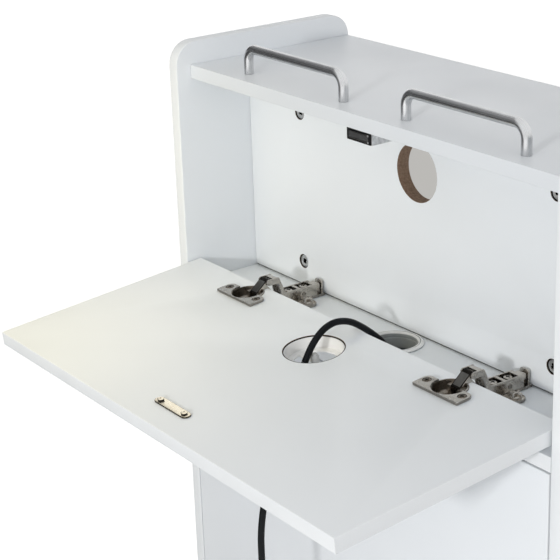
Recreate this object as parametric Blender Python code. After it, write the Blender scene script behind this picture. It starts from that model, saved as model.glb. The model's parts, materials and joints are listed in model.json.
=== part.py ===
"""Drawer trolley with a drop-front cable compartment, modelled board by board at real size.

Metres, +Z up. X runs across the trolley, -Y is the side with the drop flap, and the drawers open to +Y.
The origin lies on the ground under the middle of the trolley. The flap stands open.
"""

import math

import bmesh
import bpy
import numpy as np
from mathutils import Matrix, Vector
from mathutils.geometry import tessellate_polygon

# Carcass boards
INNER_WIDTH = 0.570
BOARD = 0.015
DEPTH = 0.233
SIDE_RISE = 0.025
SIDE_CORNER_RADIUS = 0.025
SHELF_SETBACK = 0.0175
REAR_SETBACK = 0.001
COMPARTMENT_HEIGHT = 0.245
COMPARTMENT_DEPTH = 0.0925
LOWER_HEIGHT = 0.496
FRONT_GAP = 0.002
EDGE_ROUND = 0.0008
SEAT = 0.0003

# Fineness of round shapes
ROUND_STEPS = 32
PIN_STEPS = 16
BEND_STEPS = 8
BAR_SIDES = 4
LEAD_SIDES = 3
COIL_SIDES = 1
CURVE_STEPS = 24
SMOOTH_BELOW = math.radians(35)
ROUND_EDGES_ABOVE = math.radians(60)

# Cable openings
CABLE_HOLE_RADIUS = 0.030
CABLE_HOLE_DROP = 0.0727
GROMMET_SETBACK = 0.062
GROMMET_FLANGE_RADIUS = 0.030
GROMMET_BORE_RADIUS = 0.0235
GROMMET_SLEEVE = 0.0025
GROMMET_FLANGE = 0.0025

# Bar handles, on the top and on the drawers
HANDLE_CENTRES = 0.160
HANDLE_DIAMETER = 0.010
HANDLE_HEIGHT = 0.032
HANDLE_BEND = 0.015
TOP_HANDLE_FROM_SIDE = 0.158
TOP_HANDLE_SETBACK = 0.040
PULL_DROP = 0.060

# Drop flap, open
FLAP_LENGTH = 0.251
FLAP_SIDE_GAP = 0.0025
FLAP_TILT = math.radians(5.27)
FLAP_EDGE_SETBACK = 0.0166
FLAP_EDGE_RISE = 0.0264
FLAP_CLOSED_SETBACK = 0.0165
FLAP_CLOSED_RISE = 0.0025
FLAP_HOLE_RADIUS = 0.031
FLAP_HOLE_FROM_EDGE = 0.056
LINER_WALL = 0.002
LINER_LEDGE_RADIUS = 0.0225
LINER_LEDGE = 0.002

# Magnetic catch and its strike plate
STRIKE_FROM_EDGE = 0.220
STRIKE_LENGTH = 0.054
STRIKE_WIDTH = 0.010
STRIKE_THICKNESS = 0.0015
CATCH_WIDTH = 0.037
CATCH_HEIGHT = 0.0125
CATCH_DEPTH = 0.045
CATCH_WALL = 0.0015
CATCH_SETBACK = 0.0192
MAGNET_DEPTH = 0.020

# Concealed hinges
HINGE_FROM_SIDE = 0.125
CUP_RADIUS = 0.0175
CUP_DEPTH = 0.0125
CUP_WALL = 0.001
CUP_RIM = 0.0008
CUP_FROM_EDGE = 0.0223
CUP_FLANGE_LENGTH = 0.062
CUP_FLANGE_WIDTH = 0.021
CUP_FLANGE_FROM_EDGE = 0.0305
CUP_FLANGE_FRONT_ROUND = 0.004
CUP_FLANGE_REAR_ROUND = 0.009
CUP_FLANGE = 0.002
CUP_LUG_LENGTH = 0.0075
CUP_LUG_WIDTH = 0.0045
CUP_LUG_DROP = 0.0015
KNUCKLE_SETBACK = 0.0175
KNUCKLE_RISE = 0.0325
KNUCKLE_RADIUS = 0.0034
HINGE_PIN_RADIUS = 0.0015
LINK_PIVOT_RADIUS = 0.007
LINK_THICKNESS = 0.0026
LINK_WIDTH = 0.012
LINK_CLEARANCE = 0.0004
ARM_CHEEK = 0.0014
ARM_TOP = 0.0163
ARM_REAR = 0.080
ARM_CHAMFER = 0.003
ARM_KNUCKLE_BLOCK = 0.0125
ARM_CRANK_RUN = 0.0085
ARM_CRANK_EASE = 0.003
PLATE_THICKNESS = 0.003
PLATE_REAR = 0.0905
PLATE_TAB_WIDTH = 0.012
PLATE_TAB_HEIGHT = 0.0145
PLATE_TAB_THICKNESS = 0.002
PLATE_TAB_LIP = 0.0015
PLATE_WING_SPAN = 0.056
PLATE_WING_RADIUS = 0.009
PLATE_WING_SETBACK = 0.059
PLATE_FRONT = 0.037

# Drawers
UPPER_FRONT_HEIGHT = 0.200
DRAWER_BOARD = 0.012
DRAWER_SIDE_GAP = 0.002
DRAWER_BACK_GAP = 0.005
DRAWER_HEADROOM = 0.070
LOWER_DRAWER_HEADROOM = 0.030
DRAWER_FOOTROOM = 0.010
DRAWER_BOTTOM = 0.006
DRAWER_BOTTOM_RISE = 0.008
GROOVE_DEPTH = 0.007
RUNNER_HEIGHT = 0.014
RUNNER_CLEARANCE = 0.0004
RUNNER_END_GAP = 0.008

# Swivel casters
CASTER_FROM_SIDE = 0.037
CASTER_FROM_FACE = 0.048
CASTER_TRAIL = 0.016
WHEEL_RADIUS = 0.025
WHEEL_WIDTH = 0.020
WHEEL_CROWN = 0.003
WHEEL_TYRE = 0.006
WHEEL_WEB_DROP = 0.003
HUB_WALL = 0.006
WHEEL_TO_CROWN = 0.003
AXLE_RADIUS = 0.003
AXLE_CLEARANCE = 0.0003
FORK_SIDE_GAP = 0.0015
FORK_CHEEK = 0.0025
FORK_CROWN = 0.004
FORK_CROWN_LENGTH = 0.030
FORK_BOSS_RADIUS = 0.008
SWIVEL_RADIUS = 0.016
SWIVEL_HEIGHT = 0.009
CASTER_PLATE = 0.050
CASTER_PLATE_THICKNESS = 0.0025

# Power lead
LEAD_DIAMETER = 0.0068
LEAD_STEP = 2.2
BOX_WIDTH = 0.080
BOX_DEPTH = 0.047
BOX_HEIGHT = 0.034
BOOT_LENGTH = 0.026
BOOT_BASE_RADIUS = 0.0075
BOOT_COLLAR = 0.005
BOOT_TIP_WALL = 0.0007
BOOT_SETBACK = 0.052
BOOT_TOP_DROP = 0.020
COIL_CENTRE = (-0.080, -0.156)
COIL_RADIUS = 0.046
COIL_PITCH = 0.0074
COIL_TURNS = 2
COIL_POINTS = 24
PLUG_LENGTH = 0.045
PLUG_RADIUS = 0.0105
PLUG_NECK_WALL = 0.0004
PLUG_SLEEVE_WALL = 0.0015
PLUG_SLEEVE_LENGTH = 0.0155
PLUG_SHOULDER = 0.0225
PLUG_CHAMFER = 0.0008
PLUG_PIN_RADIUS = 0.002
PLUG_PIN_LENGTH = 0.019
PLUG_PIN_SPACING = 0.010

# Points that the lead passes, as (x, y from the front plane, height above the ground)
UPPER_ROUTE = [
    (0, 0.0520, 0.5755),
    (0, 0.0520, 0.5835),
    (0, 0.0505, 0.5920),
    (0, 0.0462, 0.6005),
    (0, 0.0395, 0.6075),
    (0, 0.0300, 0.6160),
    (0, 0.0185, 0.6250),
    (0, 0.0070, 0.6322),
    (0, -0.0040, 0.6360),
    (0, -0.0150, 0.6368),
    (0, -0.0255, 0.6338),
    (0, -0.0345, 0.6275),
    (0, -0.0415, 0.6198),
    (0, -0.0470, 0.6113),
    (0, -0.0505, 0.6050),
]
LOWER_ROUTE = [
    (0, -0.0507, 0.6047),
    (0, -0.0545, 0.5975),
    (0, -0.0625, 0.5810),
    (0, -0.0735, 0.5570),
    (0, -0.0860, 0.5270),
    (0, -0.0970, 0.4970),
    (0, -0.1060, 0.4650),
    (0, -0.1100, 0.4380),
    (0, -0.1105, 0.4100),
    (0, -0.1095, 0.3700),
    (0, -0.1090, 0.3000),
    (0, -0.1090, 0.2200),
    (0, -0.1090, 0.1400),
    (-0.0010, -0.1090, 0.0950),
    (-0.0050, -0.1090, 0.0600),
    (-0.0150, -0.1092, 0.0290),
    (-0.0310, -0.1096, 0.0100),
    (-0.0460, -0.1099, 0.0045),
]

# Heights and depths that follow from the sizes above
AXLE_HEIGHT = WHEEL_RADIUS
CROWN_UNDER = AXLE_HEIGHT + WHEEL_RADIUS + WHEEL_TO_CROWN
PLATE_UNDER = CROWN_UNDER + FORK_CROWN + SWIVEL_HEIGHT + SEAT
BOTTOM_UNDER = PLATE_UNDER + CASTER_PLATE_THICKNESS + SEAT
BOTTOM_TOP = BOTTOM_UNDER + BOARD
FLOOR_UNDER = BOTTOM_TOP + LOWER_HEIGHT
FLOOR_TOP = FLOOR_UNDER + BOARD
SHELF_TOP = FLOOR_TOP + COMPARTMENT_HEIGHT
SHELF_UNDER = SHELF_TOP - BOARD
HALF_WIDTH = INNER_WIDTH / 2
FLAP_REACH = FLAP_LENGTH * math.cos(FLAP_TILT) - FLAP_EDGE_SETBACK
FRONT_Y = (FLAP_REACH - DEPTH - HANDLE_HEIGHT - SEAT) / 2
REAR_Y = FRONT_Y + DEPTH
CATCH_HALF = CATCH_WIDTH / 2
HINGE_X = HALF_WIDTH - HINGE_FROM_SIDE

# The flap turns about the one point that carries its inner edge from the open to the closed place
FLAP_SWING = math.pi / 2 + FLAP_TILT
OPEN_EDGE = Vector((FRONT_Y + FLAP_EDGE_SETBACK, FLOOR_TOP + FLAP_EDGE_RISE))
CLOSED_EDGE = Vector((FRONT_Y + FLAP_CLOSED_SETBACK, FLOOR_TOP + FLAP_CLOSED_RISE))
EDGE_MOVE = OPEN_EDGE - CLOSED_EDGE
EDGE_TO_AXIS = Vector((-EDGE_MOVE.y, EDGE_MOVE.x)) / (2 * math.tan(FLAP_SWING / 2))
FLAP_AXIS = (OPEN_EDGE + CLOSED_EDGE) / 2 + EDGE_TO_AXIS

# The hinge link joins the arm's knuckle to a point in the cup that is as far from it open as closed
KNUCKLE = Vector((FRONT_Y + KNUCKLE_SETBACK, FLOOR_TOP + KNUCKLE_RISE))
KNUCKLE_ANGLE = math.atan2(KNUCKLE.y - FLAP_AXIS.y, KNUCKLE.x - FLAP_AXIS.x)
LINK_FOOT_ANGLE = KNUCKLE_ANGLE + FLAP_SWING / 2
LINK_FOOT = FLAP_AXIS + LINK_PIVOT_RADIUS * Vector((math.cos(LINK_FOOT_ANGLE), math.sin(LINK_FOOT_ANGLE)))

FINISHES = {
    "white_board": ((0.80, 0.81, 0.82), 0.35, 0.0),
    "satin_steel": ((0.55, 0.54, 0.52), 0.35, 1.0),
    "nickel": ((0.52, 0.49, 0.44), 0.30, 1.0),
    "dark_nickel": ((0.25, 0.24, 0.22), 0.40, 1.0),
    "brass": ((0.72, 0.55, 0.32), 0.30, 1.0),
    "white_plastic": ((0.82, 0.82, 0.81), 0.25, 0.0),
    "black_plastic": ((0.015, 0.015, 0.016), 0.40, 0.0),
    "grey_rubber": ((0.12, 0.12, 0.13), 0.60, 0.0),
    "aluminium": ((0.60, 0.60, 0.60), 0.40, 1.0),
}


def finish(name):
    """The named material, made on first use."""
    if name in bpy.data.materials:
        return bpy.data.materials[name]
    colour, roughness, metallic = FINISHES[name]
    material = bpy.data.materials.new(name)
    material.use_nodes = True
    shader = material.node_tree.nodes["Principled BSDF"]
    shader.inputs["Base Color"].default_value = (*colour, 1.0)
    shader.inputs["Roughness"].default_value = roughness
    shader.inputs["Metallic"].default_value = metallic
    return material


def piece(name, data, material):
    """A named object in the scene with its material."""
    made = bpy.data.objects.new(name, data)
    bpy.context.collection.objects.link(made)
    made.data.materials.append(finish(material))
    return made


def solid(name, points, faces, material):
    """A mesh object with its faces turned outwards and its round parts shaded smooth."""
    shape = bmesh.new()
    corners = [shape.verts.new(point) for point in points]
    for face in faces:
        shape.faces.new([corners[index] for index in face])
    bmesh.ops.recalc_face_normals(shape, faces=shape.faces)
    mesh = bpy.data.meshes.new(name)
    shape.to_mesh(mesh)
    shape.free()
    mesh.shade_smooth()
    mesh.set_sharp_from_angle(angle=SMOOTH_BELOW)
    return piece(name, mesh, material)


def prism(name, loops, axis, low, high, material):
    """An outline and its holes, as flat loops, extruded along one axis."""
    point_at = {
        "X": lambda a, b, h: (h, a, b),
        "Y": lambda a, b, h: (a, h, b),
        "Z": lambda a, b, h: (a, b, h),
    }[axis]
    flat = [point for loop in loops for point in loop]
    count = len(flat)
    points = [point_at(a, b, low) for a, b in flat] + [point_at(a, b, high) for a, b in flat]
    caps = tessellate_polygon([[Vector((a, b, 0)) for a, b in loop] for loop in loops])
    faces = [tuple(cap) for cap in caps] + [tuple(index + count for index in cap) for cap in caps]
    first = 0
    for loop in loops:
        for step in range(len(loop)):
            here = first + step
            after = first + (step + 1) % len(loop)
            faces.append((here, after, after + count, here + count))
        first += len(loop)
    return solid(name, points, faces, material)


def turned(name, profile, material, segments=ROUND_STEPS):
    """A profile of (radius, height) points turned about Z, closed where it meets the axis."""
    points = []
    rings = []
    for radius, height in profile:
        if radius == 0:
            rings.append([len(points)] * segments)
            points.append((0, 0, height))
            continue
        rings.append(list(range(len(points), len(points) + segments)))
        for step in range(segments):
            angle = 2 * math.pi * step / segments
            points.append((radius * math.cos(angle), radius * math.sin(angle), height))
    pairs = list(zip(rings, rings[1:]))
    if profile[0][0] > 0:
        pairs.append((rings[-1], rings[0]))
    faces = []
    for lower, upper in pairs:
        for step in range(segments):
            after = (step + 1) % segments
            corners = (lower[step], lower[after], upper[after], upper[step])
            faces.append(tuple(dict.fromkeys(corners)))
    return solid(name, points, faces, material)


def tube(name, path, radius, sides, material):
    """A round tube with closed ends along a path of points."""
    curve = bpy.data.curves.new(name, "CURVE")
    curve.dimensions = "3D"
    curve.bevel_depth = radius
    curve.bevel_resolution = sides
    curve.use_fill_caps = True
    spline = curve.splines.new("POLY")
    spline.points.add(len(path) - 1)
    for index, point in enumerate(path):
        spline.points[index].co = (*point, 1)
    return piece(name, curve, material)


def arc(centre, radius, start, end, count=BEND_STEPS):
    """Points on an arc from one angle to another, in degrees, both ends included."""
    angles = [math.radians(start + (end - start) * step / (count - 1)) for step in range(count)]
    return [(centre[0] + radius * math.cos(angle), centre[1] + radius * math.sin(angle)) for angle in angles]


def circle(centre, radius, count=ROUND_STEPS):
    """A closed loop of points round a circle."""
    return arc(centre, radius, 0, 360 - 360 / count, count)


def rectangle(low, high):
    """A loop of four corners."""
    return [(low[0], low[1]), (high[0], low[1]), (high[0], high[1]), (low[0], high[1])]


def stadium(centre, length, width):
    """A loop with two straight sides and round ends, its length along the first axis."""
    radius = width / 2
    reach = length / 2 - radius
    right = arc((centre[0] + reach, centre[1]), radius, -90, 90)
    return right + arc((centre[0] - reach, centre[1]), radius, 90, 270)


def box(name, low, high, material):
    """A block between two corners."""
    return prism(name, [rectangle(low[:2], high[:2])], "Z", low[2], high[2], material)


def soften(board):
    """A small round along the sharp edges of a board."""
    edges = board.modifiers.new("edges", "BEVEL")
    edges.width = EDGE_ROUND
    edges.segments = 1
    edges.limit_method = "ANGLE"
    edges.angle_limit = ROUND_EDGES_ABOVE
    return board


def combine(base, tool, operation, solver="EXACT"):
    """Cut a hidden tool out of a piece, or join it on."""
    tool.hide_render = True
    tool.display_type = "WIRE"
    change = base.modifiers.new(operation.lower(), "BOOLEAN")
    change.operation = operation
    change.solver = solver
    change.object = tool
    return base


def pivot(name, place):
    """An empty on a joint's axis."""
    empty = bpy.data.objects.new(name, None)
    empty.empty_display_size = 0.02
    empty.location = place
    bpy.context.collection.objects.link(empty)
    return empty


def hang_on(parent, *pieces):
    """Parent pieces to a pivot without moving them."""
    for child in pieces:
        child.parent = parent
        child.matrix_parent_inverse = Matrix.Translation(parent.location).inverted()


def place(made, location, turn=None):
    """Put a piece that was modelled about its own origin in its place."""
    made.location = location
    if turn:
        made.rotation_euler = turn
    return made


def carcass():
    """The fixed boards of the trolley."""
    for name, side in (("left_side_panel", -1), ("right_side_panel", 1)):
        top = SHELF_TOP + SIDE_RISE
        radius = SIDE_CORNER_RADIUS
        outline = [(FRONT_Y, BOTTOM_UNDER), (REAR_Y, BOTTOM_UNDER)]
        outline += arc((REAR_Y - radius, top - radius), radius, 0, 90)
        outline += arc((FRONT_Y + radius, top - radius), radius, 90, 180)
        faces = sorted((side * HALF_WIDTH, side * (HALF_WIDTH + BOARD)))
        soften(prism(name, [outline], "X", *faces, "white_board"))

    between = HALF_WIDTH - SEAT
    rear = REAR_Y - REAR_SETBACK
    shelf_low = (-between, FRONT_Y + SHELF_SETBACK, SHELF_UNDER)
    soften(box("top_shelf", shelf_low, (between, rear, SHELF_TOP), "white_board"))

    back = FRONT_Y + COMPARTMENT_DEPTH
    upright = rectangle((-between, FLOOR_TOP + SEAT), (between, SHELF_UNDER - SEAT))
    cable_hole = circle((0, SHELF_TOP - CABLE_HOLE_DROP), CABLE_HOLE_RADIUS)
    soften(prism("compartment_back", [upright, cable_hole], "Y", back, back + BOARD, "white_board"))

    level = rectangle((-between, FRONT_Y), (between, rear))
    sleeve_hole = circle((0, FRONT_Y + GROMMET_SETBACK), GROMMET_BORE_RADIUS + GROMMET_SLEEVE + SEAT)
    soften(prism("compartment_floor", [level, sleeve_hole], "Z", FLOOR_UNDER, FLOOR_TOP, "white_board"))
    bottom_low = (-between, FRONT_Y, BOTTOM_UNDER)
    soften(box("bottom_panel", bottom_low, (between, REAR_Y, BOTTOM_TOP), "white_board"))

    front_half = HALF_WIDTH - FRONT_GAP
    low = (-front_half, FRONT_Y, BOTTOM_TOP + SEAT)
    high = (front_half, FRONT_Y + BOARD, FLOOR_UNDER - FRONT_GAP)
    soften(box("lower_front_panel", low, high, "white_board"))


def cable_grommet():
    """The plastic ring in the compartment floor: a flange on the board and a sleeve through it."""
    sleeve = GROMMET_BORE_RADIUS + GROMMET_SLEEVE
    profile = [
        (GROMMET_BORE_RADIUS, -BOARD),
        (sleeve, -BOARD),
        (sleeve, SEAT),
        (GROMMET_FLANGE_RADIUS, SEAT),
        (GROMMET_FLANGE_RADIUS - GROMMET_FLANGE / 2, GROMMET_FLANGE),
        (GROMMET_BORE_RADIUS + GROMMET_FLANGE / 2, GROMMET_FLANGE),
        (GROMMET_BORE_RADIUS, GROMMET_FLANGE / 2),
    ]
    place(turned("floor_grommet", profile, "white_plastic"), (0, FRONT_Y + GROMMET_SETBACK, FLOOR_TOP))


def bar_handle(name):
    """A round bar bent to two legs, standing on the XY plane, with its legs along X."""
    radius = HANDLE_DIAMETER / 2
    half = HANDLE_CENTRES / 2
    bar = HANDLE_HEIGHT - radius
    right = arc((half - HANDLE_BEND, bar - HANDLE_BEND), HANDLE_BEND, 0, 90)
    left = arc((HANDLE_BEND - half, bar - HANDLE_BEND), HANDLE_BEND, 90, 180)
    path = [(half, 0, SEAT)] + [(x, 0, z) for x, z in right + left] + [(-half, 0, SEAT)]
    return tube(name, path, radius, BAR_SIDES, "satin_steel")


def top_handles():
    """The two handles on the top shelf."""
    for name, side in (("top_handle_left", -1), ("top_handle_right", 1)):
        middle = side * (HALF_WIDTH - TOP_HANDLE_FROM_SIDE)
        place(bar_handle(name), (middle, FRONT_Y + TOP_HANDLE_SETBACK, SHELF_TOP))


def magnetic_catch():
    """A channel under the shelf with a magnet block in its mouth."""
    top = SHELF_UNDER - SEAT
    under = top - CATCH_HEIGHT
    front = FRONT_Y + CATCH_SETBACK
    inner = CATCH_HALF - CATCH_WALL
    channel = [
        (-CATCH_HALF, under),
        (-inner, under),
        (-inner, top - CATCH_WALL),
        (inner, top - CATCH_WALL),
        (inner, under),
        (CATCH_HALF, under),
        (CATCH_HALF, top),
        (-CATCH_HALF, top),
    ]
    prism("catch_housing", [channel], "Y", front, front + CATCH_DEPTH, "aluminium")
    block = inner - SEAT
    low = (-block, front, under + CATCH_WALL)
    high = (block, front + MAGNET_DEPTH, top - CATCH_WALL - SEAT)
    box("catch_magnet", low, high, "black_plastic")


def on_flap(made, x=0.0, from_edge=0.0):
    """Lay a piece modelled on the XY plane on the open flap, at a distance from the hinged edge."""
    y = OPEN_EDGE.x - from_edge * math.cos(FLAP_TILT)
    z = OPEN_EDGE.y - from_edge * math.sin(FLAP_TILT)
    return place(made, (x, y, z), (FLAP_TILT, 0, 0))


def flap_panel():
    """The board of the flap, with its cable hole and two blind cup holes."""
    half = HALF_WIDTH - FLAP_SIDE_GAP
    outline = rectangle((-half, -FLAP_LENGTH), (half, 0))
    hole = circle((0, -FLAP_HOLE_FROM_EDGE), FLAP_HOLE_RADIUS)
    board = soften(prism("flap_panel", [outline, hole], "Z", -BOARD, 0, "white_board"))
    pocket = CUP_RADIUS + SEAT
    for side in (-1, 1):
        ring = circle((side * HINGE_X, -CUP_FROM_EDGE), pocket)
        cutter = prism("cup_hole_cutter", [ring], "Z", -CUP_DEPTH - SEAT, BOARD, "white_board")
        combine(board, on_flap(cutter), "DIFFERENCE")
    return on_flap(board)


def flap_liner():
    """The plastic liner of the flap's cable hole, flush with both faces, with a ledge at its foot."""
    outer = FLAP_HOLE_RADIUS - SEAT
    inner = outer - LINER_WALL
    profile = [
        (LINER_LEDGE_RADIUS, -BOARD),
        (outer, -BOARD),
        (outer, 0),
        (inner, 0),
        (inner, LINER_LEDGE - BOARD),
        (LINER_LEDGE_RADIUS, LINER_LEDGE - BOARD),
    ]
    return on_flap(turned("flap_liner", profile, "white_plastic"), 0, FLAP_HOLE_FROM_EDGE)


def strike_plate():
    """The plate on the flap that the magnet holds."""
    outline = stadium((0, 0), STRIKE_LENGTH, STRIKE_WIDTH)
    made = prism("strike_plate", [outline], "Z", SEAT, SEAT + STRIKE_THICKNESS, "brass")
    return on_flap(made, 0, STRIKE_FROM_EDGE)


def hinge_cup(name, side):
    """A pressed cup in the flap, two lugs in it beside the link's foot, and its screwed flange."""
    inner = CUP_RADIUS - CUP_WALL
    rim = SEAT + CUP_RIM
    bowl = [
        (0, -CUP_DEPTH),
        (CUP_RADIUS, -CUP_DEPTH),
        (CUP_RADIUS, rim),
        (inner, rim),
        (inner, CUP_WALL - CUP_DEPTH),
        (0, CUP_WALL - CUP_DEPTH),
    ]
    made = turned(name, bowl, "nickel")
    tools = [flange_sheet()]
    along = Vector((math.cos(FLAP_TILT), math.sin(FLAP_TILT)))
    foot = (LINK_FOOT - OPEN_EDGE).dot(along) + CUP_FROM_EDGE
    near = LINK_WIDTH / 2 + SEAT
    for hand in (-1, 1):
        left, right = sorted((hand * near, hand * (near + CUP_LUG_WIDTH)))
        low = (left, foot - CUP_LUG_LENGTH / 2, CUP_WALL / 2 - CUP_DEPTH)
        high = (right, foot + CUP_LUG_LENGTH / 2, -CUP_LUG_DROP)
        tools.append(box("cup_lug_tool", low, high, "nickel"))
    for tool in tools:
        combine(made, on_flap(tool, side * HINGE_X, CUP_FROM_EDGE), "UNION")
    return on_flap(made, side * HINGE_X, CUP_FROM_EDGE)


def flange_sheet():
    """The flange of a cup, about the cup's axis, less the round of the cup that reaches past it."""
    half = CUP_FLANGE_LENGTH / 2
    middle = CUP_FROM_EDGE - CUP_FLANGE_FROM_EDGE
    front = middle - CUP_FLANGE_WIDTH / 2
    rear = middle + CUP_FLANGE_WIDTH / 2
    tight = CUP_FLANGE_FRONT_ROUND
    wide = CUP_FLANGE_REAR_ROUND
    outline = arc((half - tight, front + tight), tight, -90, 0)
    outline += arc((half - wide, rear - wide), wide, 0, 90)
    outline += arc((wide - half, rear - wide), wide, 90, 180)
    outline += arc((tight - half, front + tight), tight, 180, 270)
    sheet = prism("flange_sheet", [outline], "Z", SEAT, SEAT + CUP_FLANGE, "nickel")
    opening = circle((0, 0), CUP_RADIUS - CUP_WALL / 2)
    hole = prism("flange_hole", [opening], "Z", -CUP_FLANGE, 3 * CUP_FLANGE, "nickel")
    hole.parent = sheet
    return combine(sheet, hole, "DIFFERENCE")


def hinge_link(name, side):
    """The link from the arm's knuckle to the cup: a round head on the pin and a strip off its top."""
    foot = LINK_FOOT - KNUCKLE
    way = foot.normalized()
    outward = Vector((way.y, -way.x))
    low = KNUCKLE_RADIUS - LINK_THICKNESS
    heading = math.degrees(math.atan2(way.y, way.x))
    neck = math.degrees(math.asin(low / KNUCKLE_RADIUS))
    end = foot + (KNUCKLE_RADIUS - LINK_THICKNESS / 2) * outward
    outline = arc((0, 0), KNUCKLE_RADIUS, heading - neck, heading + 270, ROUND_STEPS)
    outline += arc(end, LINK_THICKNESS / 2, heading - 90, heading + 90)
    eye = circle((0, 0), HINGE_PIN_RADIUS + SEAT, PIN_STEPS)
    half = LINK_WIDTH / 2
    made = prism(name, [outline, eye], "X", -half, half, "dark_nickel")
    return place(made, (side * HINGE_X, KNUCKLE.x, KNUCKLE.y))


def hinge_arm(name, side):
    """The cranked arm: a flat tail on the mounting plate, a crank, and a forked knuckle with its pin."""
    slot = LINK_WIDTH / 2 + LINK_CLEARANCE
    half = slot + ARM_CHEEK
    under = PLATE_THICKNESS + 2 * SEAT
    knuckle = (KNUCKLE_SETBACK, KNUCKLE_RISE)
    knuckle_top = KNUCKLE_RISE + KNUCKLE_RADIUS
    knuckle_under = KNUCKLE_RISE - KNUCKLE_RADIUS
    crank = KNUCKLE_SETBACK + ARM_KNUCKLE_BLOCK
    heel = crank + ARM_CRANK_RUN
    profile = [
        (ARM_REAR, under),
        (ARM_REAR, ARM_TOP - ARM_CHAMFER),
        (ARM_REAR - ARM_CHAMFER, ARM_TOP),
        (heel, ARM_TOP),
        (heel - ARM_CRANK_EASE, ARM_TOP + ARM_CRANK_EASE),
        (crank + ARM_CRANK_EASE, knuckle_top - ARM_CRANK_EASE),
        (crank, knuckle_top),
    ]
    profile += arc(knuckle, KNUCKLE_RADIUS, 90, 270)
    profile += [
        (crank - ARM_CRANK_EASE, knuckle_under),
        (crank, knuckle_under - ARM_CRANK_EASE),
        (crank + ARM_CHAMFER, ARM_TOP - ARM_CHAMFER),
        (heel - ARM_CRANK_EASE, under),
    ]
    made = prism(name, [profile], "X", -half, half, "nickel")
    room = KNUCKLE_RADIUS + LINK_CLEARANCE
    low = (-slot, KNUCKLE_SETBACK - 2 * room, KNUCKLE_RISE - 2 * room)
    high = (slot, KNUCKLE_SETBACK + room, KNUCKLE_RISE + 2 * room)
    fork = box("fork_cutter", low, high, "nickel")
    pin_half = slot + ARM_CHEEK / 2
    pin_ring = circle(knuckle, HINGE_PIN_RADIUS, PIN_STEPS)
    pin = prism("pin_tool", [pin_ring], "X", -pin_half, pin_half, "nickel")
    where = (side * HINGE_X, FRONT_Y, FLOOR_TOP)
    for tool, operation in ((fork, "DIFFERENCE"), (pin, "UNION")):
        combine(made, place(tool, where), operation)
    return place(made, where)


def hinge_plate(name, side):
    """The mounting plate on the floor: a strip with a round wing each side and a tab at its rear."""
    half = LINK_WIDTH / 2 + LINK_CLEARANCE + ARM_CHEEK
    reach = PLATE_WING_SPAN / 2 - PLATE_WING_RADIUS
    right = arc((reach, PLATE_WING_SETBACK), PLATE_WING_RADIUS, -90, 90)
    left = arc((-reach, PLATE_WING_SETBACK), PLATE_WING_RADIUS, 90, 270)
    low = PLATE_WING_SETBACK - PLATE_WING_RADIUS
    high = PLATE_WING_SETBACK + PLATE_WING_RADIUS
    outline = [(half, PLATE_FRONT), (half, low)] + right + [(half, high), (half, PLATE_REAR)]
    outline += [(-half, PLATE_REAR), (-half, high)] + left + [(-half, low), (-half, PLATE_FRONT)]
    made = prism(name, [outline], "Z", SEAT, SEAT + PLATE_THICKNESS, "nickel")
    tab_rear = PLATE_REAR - PLATE_TAB_LIP
    tab_half = PLATE_TAB_WIDTH / 2
    tab_low = (-tab_half, tab_rear - PLATE_TAB_THICKNESS, SEAT + PLATE_THICKNESS / 2)
    tab = box("plate_tab_tool", tab_low, (tab_half, tab_rear, PLATE_TAB_HEIGHT), "nickel")
    where = (side * HINGE_X, FRONT_Y, FLOOR_TOP)
    combine(made, place(tab, where), "UNION", "MANIFOLD")
    return place(made, where)


def drop_flap():
    """The flap with its hardware, and the hinges that carry it."""
    flap = [flap_panel(), flap_liner(), strike_plate()]
    links = []
    for word, side in (("left", -1), ("right", 1)):
        flap.append(hinge_cup(f"hinge_cup_{word}", side))
        links.append(hinge_link(f"hinge_link_{word}", side))
        hinge_arm(f"hinge_arm_{word}", side)
        hinge_plate(f"hinge_plate_{word}", side)
    hang_on(pivot("flap_axis", (0, FLAP_AXIS.x, FLAP_AXIS.y)), *flap)
    hang_on(pivot("link_axis", (0, KNUCKLE.x, KNUCKLE.y)), *links)


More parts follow.
